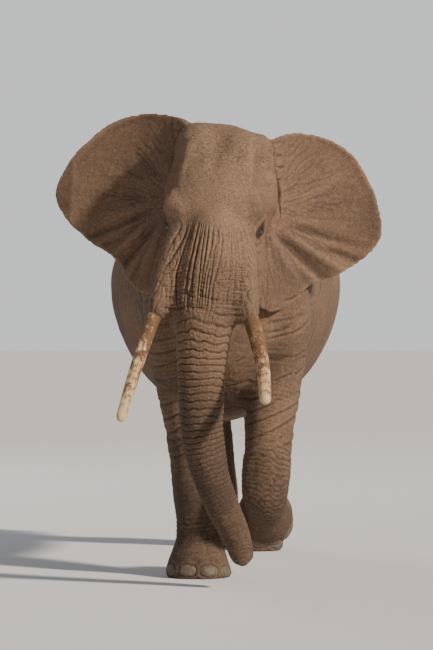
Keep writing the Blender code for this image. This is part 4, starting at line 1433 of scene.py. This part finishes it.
def nail_mesh(name):
    """A rounded toenail with streaks and a chipped lower edge, grown from its solid."""
    bm = bmesh.new()
    bm.from_mesh(NODES[name].data)
    middle, inward, down = (Vector(v) for v in nail_frame(name))
    aside = inward.cross(down)
    for vert in bm.verts:
        offset = vert.co - middle
        vert.co += aside * (offset @ aside) * 0.30 + down * (NAIL_DROP - (offset @ down) * 0.06)
        vert.co += inward * NAIL_SINK
    twin = bmesh.ops.duplicate(bm, geom=bm.verts[:] + bm.edges[:] + bm.faces[:])["geom"]
    behind = [item for item in twin if isinstance(item, bmesh.types.BMVert)]
    bmesh.ops.translate(bm, verts=behind, vec=inward * NAIL_THICKEN)
    mesh = remeshed(f"shape_{name}", mesh_from(name, bm), NAIL_VOXEL)
    points = smoothed(points_of(mesh), edges_of(mesh), 9, 0.7)
    put_points(mesh, points)
    normals = normals_of(mesh)
    seed = NAIL_NODES.index(name) + 90
    streaks = noise(points * (90, 90, 9), seed) * 0.0009
    dents = noise(points * 22, seed + 20) * 0.003
    chips = np.clip(noise(points * (60, 60, 30), seed + 40), 0, 1)
    low = points[:, 2].min()
    edge = 1 - step(low, low + 0.025, points[:, 2])
    points = points + normals * (streaks + dents - 0.006 * chips * edge)[:, None]
    points[:, 2] = np.maximum(points[:, 2], 0.0006)
    put_points(mesh, points)
    return rounded(mesh)


# ---------------------------------------------------------------- hair
# The width of a hair's patch on the map.
HAIR_PATCH = 0.003


def strands(name, roots, ways, lengths, radius, droop, seed, segments):
    """Many tapering hairs in one mesh, each with a small patch at its root's place on the map."""
    rng = np.random.default_rng(seed)
    count = len(roots)
    ways = unit(ways)
    aside = unit(np.cross(ways, rng.normal(size=(count, 3))))
    over = np.cross(ways, aside)
    bow = rng.normal(0, 0.10, (count, 1)) * aside + rng.normal(0, 0.10, (count, 1)) * over
    t = np.linspace(0, 1, segments + 1)
    bend = bow[:, None] + np.array((0, 0, -droop))
    course = ways[:, None] * t[:, None] + bend * (t**2)[:, None]
    path = roots[:, None] + lengths[:, None, None] * course
    girth = radius * (1.0 - 0.86 * t**1.6)
    angle = np.arange(3) * 2 * math.pi / 3
    ring = np.cos(angle)[:, None] * aside[:, None] + np.sin(angle)[:, None] * over[:, None]
    points = path[:, :, None] + girth[None, :, None, None] * ring[:, None]
    per = 3 * (segments + 1)
    shape = [(0, 2, 1), (per - 3, per - 2, per - 1)]
    for s in range(segments):
        for c in range(3):
            n = (c + 1) % 3
            shape.append((3 * s + c, 3 * s + n, 3 * s + 3 + n, 3 * s + 3 + c))
    faces = [tuple(i + k * per for i in face) for k in range(count) for face in shape]
    mesh = mesh_of(name, points.reshape(-1, 3), faces)
    nominal = np.tile((0.0, -1.0, 0.0), (count, 1))
    spots = chart_places(*chart_values(Regions(roots), nominal))
    level = np.repeat(t, 3)
    corner = np.tile((0.0, 0.5, 1.0), segments + 1)
    patch = rows_of(corner, level) * HAIR_PATCH - HAIR_PATCH / 2
    places = (spots[:, None] + patch[None]).reshape(-1, 2)
    corners = values_of(mesh.loops, "vertex_index", kind=np.int64)
    layer = mesh.uv_layers.new(name="OFBake")
    layer.data.foreach_set("uv", np.clip(places[corners], 0, 1).ravel())
    return mesh


def scattered(skin, wanted, seed, share):
    """Random (places, normals) on the skin, likelier where share is high."""
    rng = np.random.default_rng(seed)
    points, normals = points_of(skin), normals_of(skin)
    weight = np.clip(share, 0, None)
    chosen = rng.choice(len(points), size=wanted, replace=False, p=weight / weight.sum())
    return points[chosen] - normals[chosen] * 0.002, normals[chosen]


def tuft_mesh(count, length):
    """The wiry fringe at the end of the tail, in two rows that hang below it."""
    rng = np.random.default_rng(5)
    limb = Limb(TAIL)
    start = rng.beta(3.2, 1.0, count)
    index = np.clip(start * (len(limb.rows) - 1), 0, len(limb.rows) - 1.001)
    low = index.astype(int)
    part = (index - low)[:, None]
    rows = limb.rows[low] * (1 - part) + limb.rows[low + 1] * part
    side = np.where(rng.random(count) < 0.5, 1.0, -1.0) * (math.pi / 2)
    turn = side + rng.normal(0, 0.55, count)
    ray = limb.side[low] * np.cos(turn)[:, None] + limb.depth[low] * np.sin(turn)[:, None]
    roots = rows[:, :3] + ray * rows[:, 3:4] * 0.7 + STANCE
    ways = ray * rng.uniform(0.03, 0.22, (count, 1)) + (0, 0, -1.0)
    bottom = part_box("tail_tuft")[0].z
    lengths = length * rng.uniform(0.6, 1.05, count) * (0.55 + 0.45 * start)
    lengths = np.minimum(lengths, (roots[:, 2] - bottom) * 0.97)
    return strands("tail_tuft_hair", roots, ways, lengths, 0.0016, 0.05, seed=6, segments=5)


def bristle_mesh(skin, count, length):
    """Stiff bristles on the lower lip and chin."""
    where = Regions(points_of(skin))
    x, y, z = where.local.T
    chin = (1 - step(-0.72, -0.58, z)) * (1 - step(0.02, 0.12, y)) * (1 - step(0.17, 0.22, abs(x)))
    share = chin * (1 - where.limb("trunk", 1.0, 1.12)) * (where.head > 0.3)
    roots, normals = scattered(skin, count, 7, share + 1e-9)
    rng = np.random.default_rng(8)
    ways = normals + rng.normal(0, 0.25, normals.shape) + (0, -0.35, -0.55)
    lengths = length * rng.uniform(0.4, 1.1, count)
    return strands("chin_bristles", roots, ways, lengths, 0.0008, 0.10, seed=9, segments=3)


def sparse_mesh(skin, count, length):
    """Thin short hair over the crown, brow, back, shoulders and trunk."""
    where = Regions(points_of(skin))
    crown = where.head * step(0.25, 0.5, where.local[:, 2]) * 3.0
    back = step(2.6, 3.0, where.stance[:, 2]) * 0.8
    share = 0.05 + crown + back + 0.5 * where.limb("trunk") + 0.5 * where.head
    share *= 1 - where.ear * 0.9
    share *= step(0.25, 0.5, where.stance[:, 2])
    share *= step(0.05, 0.06, from_eyes(points_of(skin)))
    roots, normals = scattered(skin, count, 10, share)
    rng = np.random.default_rng(11)
    ways = normals * 0.7 + rng.normal(0, 0.25, normals.shape) + (0, 0.45, -0.15)
    lengths = length * rng.uniform(0.4, 1.2, count)
    return strands("sparse_hair", roots, ways, lengths, 0.00055, 0.12, seed=12, segments=3)


def lash_mesh(count, length):
    """Lashes along the upper lids, slanting out and down."""
    rng = np.random.default_rng(13)
    roots, ways = [], []
    for side, centre in EYES.items():
        outward, ahead, up = eye_frame(side)
        for a in np.linspace(-0.86, 0.86, count) * LID_LONG:
            b = LID_OPEN * (1 - (a / LID_LONG) ** 2) + 0.003
            lift = math.sqrt(max(EYE_RADIUS**2 - a * a - b * b, 0)) + 0.004
            roots.append(centre + ahead * a + up * b + outward * lift)
            lean = outward + up * rng.uniform(-0.5, 0.0) + ahead * (a * 9 + rng.normal(0, 0.12))
            ways.append(lean - (0, 0, 0.5))
    roots, ways = np.array(roots), np.array(ways)
    lengths = length * rng.uniform(0.7, 1.1, len(roots))
    return strands("eyelashes", roots, ways, lengths, 0.0006, 0.05, seed=14, segments=3)


# ---------------------------------------------------------------- settings a user would change
def colour(name, description, value):
    return bpy.props.FloatVectorProperty(
        name=name, description=description, subtype="COLOR", size=4, min=0, max=1,
        default=(*value, 1.0),
    )


def size(name, description, value):
    return bpy.props.FloatProperty(
        name=name, description=description, default=value, min=0.0, unit="LENGTH"
    )


def amount(name, description, value):
    return bpy.props.IntProperty(name=name, description=description, default=value, min=1)


class ElephantSizes(bpy.types.PropertyGroup):
    """Sizes of the details."""

    relief: bpy.props.FloatProperty(
        name="Fold depth", description="Depth of the hide's folds, as a share of their natural one",
        default=1.0, min=0.0, max=2.0, subtype="FACTOR",
    )
    grain: bpy.props.FloatProperty(
        name="Grain depth", description="Depth of the hide's fine cracks, as a share",
        default=1.0, min=0.0, max=3.0, subtype="FACTOR",
    )
    eye_radius: size("Eye radius", "Radius of an eyeball", EYE_RADIUS)
    tuft_hairs: amount("Tail hairs", "Number of hairs in the tail tuft", 640)
    tuft_length: size("Tail hair length", "Length of the longest tail hairs", 0.36)
    bristles: amount("Bristles", "Number of bristles on the chin", 170)
    bristle_length: size("Bristle length", "Length of a chin bristle", 0.045)
    sparse_hairs: amount("Body hairs", "Number of thin hairs over the body", 1500)
    sparse_length: size("Body hair length", "Length of a body hair", 0.034)
    lashes: amount("Lashes", "Number of lashes to an eye", 36)
    lash_length: size("Lash length", "Length of an eyelash", 0.040)


class ElephantColours(bpy.types.PropertyGroup):
    """Colours of the materials."""

    hide: colour("Hide", "Dry hide", (0.164, 0.100, 0.0635))
    hide_warm: colour("Hide, warm", "Hide stained by red earth", (0.200, 0.115, 0.068))
    hide_low: colour("Hide, low", "Hide of the lower legs and trunk", (0.053, 0.0335, 0.023))
    # Pale powder, also used as painted light on the face's front and as painted highlights on
    # raised pebbles.
    dust: colour("Dust", "Dust on ridges and upper sides", (0.345, 0.222, 0.138))
    # Painted shade: the dark of creases, cracks, hollows and pebble hollows, and round the eyes,
    # where it also stands for tear-stained skin.
    crease: colour("Creases", "Bottoms of creases and cracks", (0.024, 0.015, 0.010))
    ivory: colour("Ivory", "Clean ivory at the tips", (0.66, 0.49, 0.27))
    ivory_worn: colour("Ivory, worn", "Ivory along its grain", (0.54, 0.34, 0.15))
    ivory_stain: colour("Ivory, stained", "Stain from earth and sap", (0.27, 0.130, 0.048))
    ivory_bark: colour("Ivory, dark", "Dark flakes near the sockets", (0.085, 0.040, 0.018))
    nail: colour("Nail", "Clean toenail", (0.150, 0.122, 0.086))
    nail_dark: colour("Nail, dark", "Streaks in a toenail", (0.082, 0.062, 0.043))
    iris: colour("Iris", "Iris of the eye", (0.105, 0.045, 0.016))
    iris_dark: colour("Iris, dark", "Rays and rim of the iris", (0.022, 0.010, 0.005))
    pupil: colour("Pupil", "Pupil of the eye", (0.004, 0.003, 0.003))
    eye_white: colour("Eye white", "Dim white round the iris", (0.085, 0.062, 0.050))
    hair: colour("Hair", "Tail hair, bristles and lashes", (0.020, 0.016, 0.014))
    hair_pale: colour("Hair, pale", "Paler hairs", (0.075, 0.060, 0.048))
    floor: colour("Floor", "Studio floor", (0.800, 0.790, 0.770))
    floor_worn: colour("Floor, worn", "Greyer patches of the floor", (0.74, 0.73, 0.71))


# ---------------------------------------------------------------- operators
def show(mesh, name, material, slot, *nodes):
    """Puts a piece in the scene in place of its nodes."""
    obj = new_object(name, mesh)
    obj.data.materials.clear()
    obj.data.materials.append(material)
    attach(obj, "root")
    if nodes:
        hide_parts(*nodes)


class ElephantSkin(bpy.types.Operator):
    """Grow the one skin over body, head, trunk, ears, legs and tail"""

    bl_idname = "elephant.skin"
    bl_label = "Skin"

    def execute(self, context):
        sizes, colours = context.scene.elephant_sizes, context.scene.elephant_colours
        mesh = skin_mesh(sizes.relief)
        show(mesh, "hide_skin", hide_finish(colours, sizes.grain), "hide", *HIDE_NODES)
        return {"FINISHED"}


class ElephantTusks(bpy.types.Operator):
    """Make both tusks"""

    bl_idname = "elephant.tusks"
    bl_label = "Tusks"

    def execute(self, context):
        material = ivory_finish(context.scene.elephant_colours)
        for side in TUSKS:
            show(tusk_mesh(side), f"ivory_tusk_{side}", material, "ivory", f"tusk_{side}")
        return {"FINISHED"}


class ElephantEyes(bpy.types.Operator):
    """Make both eyeballs"""

    bl_idname = "elephant.eyes"
    bl_label = "Eyes"

    def execute(self, context):
        sizes, colours = context.scene.elephant_sizes, context.scene.elephant_colours
        material = eye_finish(colours)
        for side in EYES:
            mesh = eye_mesh(side, sizes.eye_radius)
            show(mesh, f"eyeball_{side}", material, "eye", f"eye_{side}")
        return {"FINISHED"}


class ElephantNails(bpy.types.Operator):
    """Make the toenails of all four feet"""

    bl_idname = "elephant.nails"
    bl_label = "Toenails"

    def execute(self, context):
        material = nail_finish(context.scene.elephant_colours)
        for name in NAIL_NODES:
            show(nail_mesh(name), f"horn_{name}", material, "nail", name)
        return {"FINISHED"}


class ElephantHair(bpy.types.Operator):
    """Make the tail tuft, chin bristles, eyelashes and thin body hair"""

    bl_idname = "elephant.hair"
    bl_label = "Hair"

    def execute(self, context):
        sizes, colours = context.scene.elephant_sizes, context.scene.elephant_colours
        skin = bpy.data.objects["hide_skin"].data
        material = hair_finish(colours)
        tuft = tuft_mesh(sizes.tuft_hairs, sizes.tuft_length)
        show(tuft, "tail_tuft_hair", material, "hair", "tail_tuft")
        for mesh in (
            bristle_mesh(skin, sizes.bristles, sizes.bristle_length),
            sparse_mesh(skin, sizes.sparse_hairs, sizes.sparse_length),
            lash_mesh(sizes.lashes, sizes.lash_length),
        ):
            show(mesh, mesh.name, material, "hair")
        return {"FINISHED"}


# Height and colour of the pale wall round the studio, and of the ceiling above it.
ROOM_WALL = (0.13, (0.78, 0.79, 0.81, 1))
ROOM_CEILING = (0.26, (0.155, 0.17, 0.195, 1))
FLOOR_REACH = 160.0
# Lamps: name, kind, way to the lamp from where they all aim, width in metres or degrees,
# power, tint.
LAMPS = (
    ("key", "SUN", (10.0, -7.6, 6.8), 5.0, 5.4, (1.0, 0.91, 0.80)),
    ("fill", "AREA", (-9.0, -9.0, 4.0), 8.0, 70, (0.84, 0.91, 1.0)),
    ("back", "AREA", (-7.0, 13.0, 9.0), 10.0, 550, (0.95, 0.96, 1.0)),
)
LAMPS_AIM = (0.0, 0.3, 1.9)
# The camera: its place, its lens and sensor in millimetres, and how many degrees it dips.
CAMERA_AT = (0.0, -20.0, 1.85)
CAMERA_LENS = 152.36308
CAMERA_SENSOR = 36.0
CAMERA_DIP = 0.062482
CAMERA_FAR = 500


def lay_floor(colours):
    square = ((-1, -1, 0), (1, -1, 0), (1, 1, 0), (-1, 1, 0))
    mesh = mesh_of("studio_floor", np.array(square) * FLOOR_REACH, [(0, 1, 2, 3)])
    floor = new_object("studio_floor", mesh)
    floor.data.materials.append(floor_finish(colours))


def light_the_room(scene):
    """A pale band round the horizon under a dimmer ceiling."""
    scene.world = bpy.data.worlds.new("studio")
    room = Nodes(scene.world, "Background")
    way = room.node("ShaderNodeTexCoord", {}, out="Generated")
    height = room.node("ShaderNodeSeparateXYZ", {}, way, out="Z")
    stops = {"stops": (ROOM_WALL, ROOM_CEILING)}
    room.shade(Color=room.node("ShaderNodeValToRGB", stops, height, out="Color"))


def hang_lamp(name, kind, way, wide, power, tint):
    lamp = bpy.data.lights.new(name, kind)
    lamp.energy, lamp.color = power, tint
    if kind == "SUN":
        lamp.angle = math.radians(wide)
    else:
        lamp.shape, lamp.size = "DISK", wide
    hung = new_object(name, lamp)
    hung.location = Vector(STANCE) + Vector(LAMPS_AIM) + Vector(way)
    hung.rotation_euler = (-Vector(way)).to_track_quat("-Z", "Y").to_euler()


def stand_camera(scene):
    view = bpy.data.cameras.new("camera")
    view.lens, view.sensor_width = CAMERA_LENS, CAMERA_SENSOR
    view.clip_end = CAMERA_FAR
    scene.camera = new_object("camera", view)
    scene.camera.location = STANCE + CAMERA_AT
    scene.camera.rotation_euler = (math.radians(90 - CAMERA_DIP), 0, 0)


class ElephantStage(bpy.types.Operator):
    """Set up the floor, the studio light and the camera"""

    bl_idname = "elephant.stage"
    bl_label = "Stage"

    def execute(self, context):
        lay_floor(context.scene.elephant_colours)
        light_the_room(context.scene)
        for lamp in LAMPS:
            hang_lamp(*lamp)
        stand_camera(context.scene)
        return {"FINISHED"}


class ElephantPanel(bpy.types.Panel):
    """The pieces in the order they are made, with their settings"""

    bl_idname = "VIEW3D_PT_elephant"
    bl_label = "Elephant"
    bl_space_type = "VIEW_3D"
    bl_region_type = "UI"
    bl_category = "Elephant"

    def draw(self, context):
        for kind in OPERATORS:
            self.layout.operator(kind.bl_idname)
        for group in (context.scene.elephant_sizes, context.scene.elephant_colours):
            box = self.layout.box()
            for name in group.__annotations__:
                box.prop(group, name)


OPERATORS = (
    ElephantSkin, ElephantTusks, ElephantEyes, ElephantNails, ElephantHair, ElephantStage,
)
CLASSES = (ElephantSizes, ElephantColours, *OPERATORS, ElephantPanel)


def register():
    for kind in CLASSES:
        bpy.utils.register_class(kind)
    bpy.types.Scene.elephant_sizes = bpy.props.PointerProperty(type=ElephantSizes)
    bpy.types.Scene.elephant_colours = bpy.props.PointerProperty(type=ElephantColours)


def unregister():
    del bpy.types.Scene.elephant_sizes, bpy.types.Scene.elephant_colours
    for kind in reversed(CLASSES):
        bpy.utils.unregister_class(kind)


def main():
    register()
    for kind in OPERATORS:
        group, name = kind.bl_idname.split(".")
        getattr(getattr(bpy.ops, group), name)()


if __name__ == "__main__":
    main()
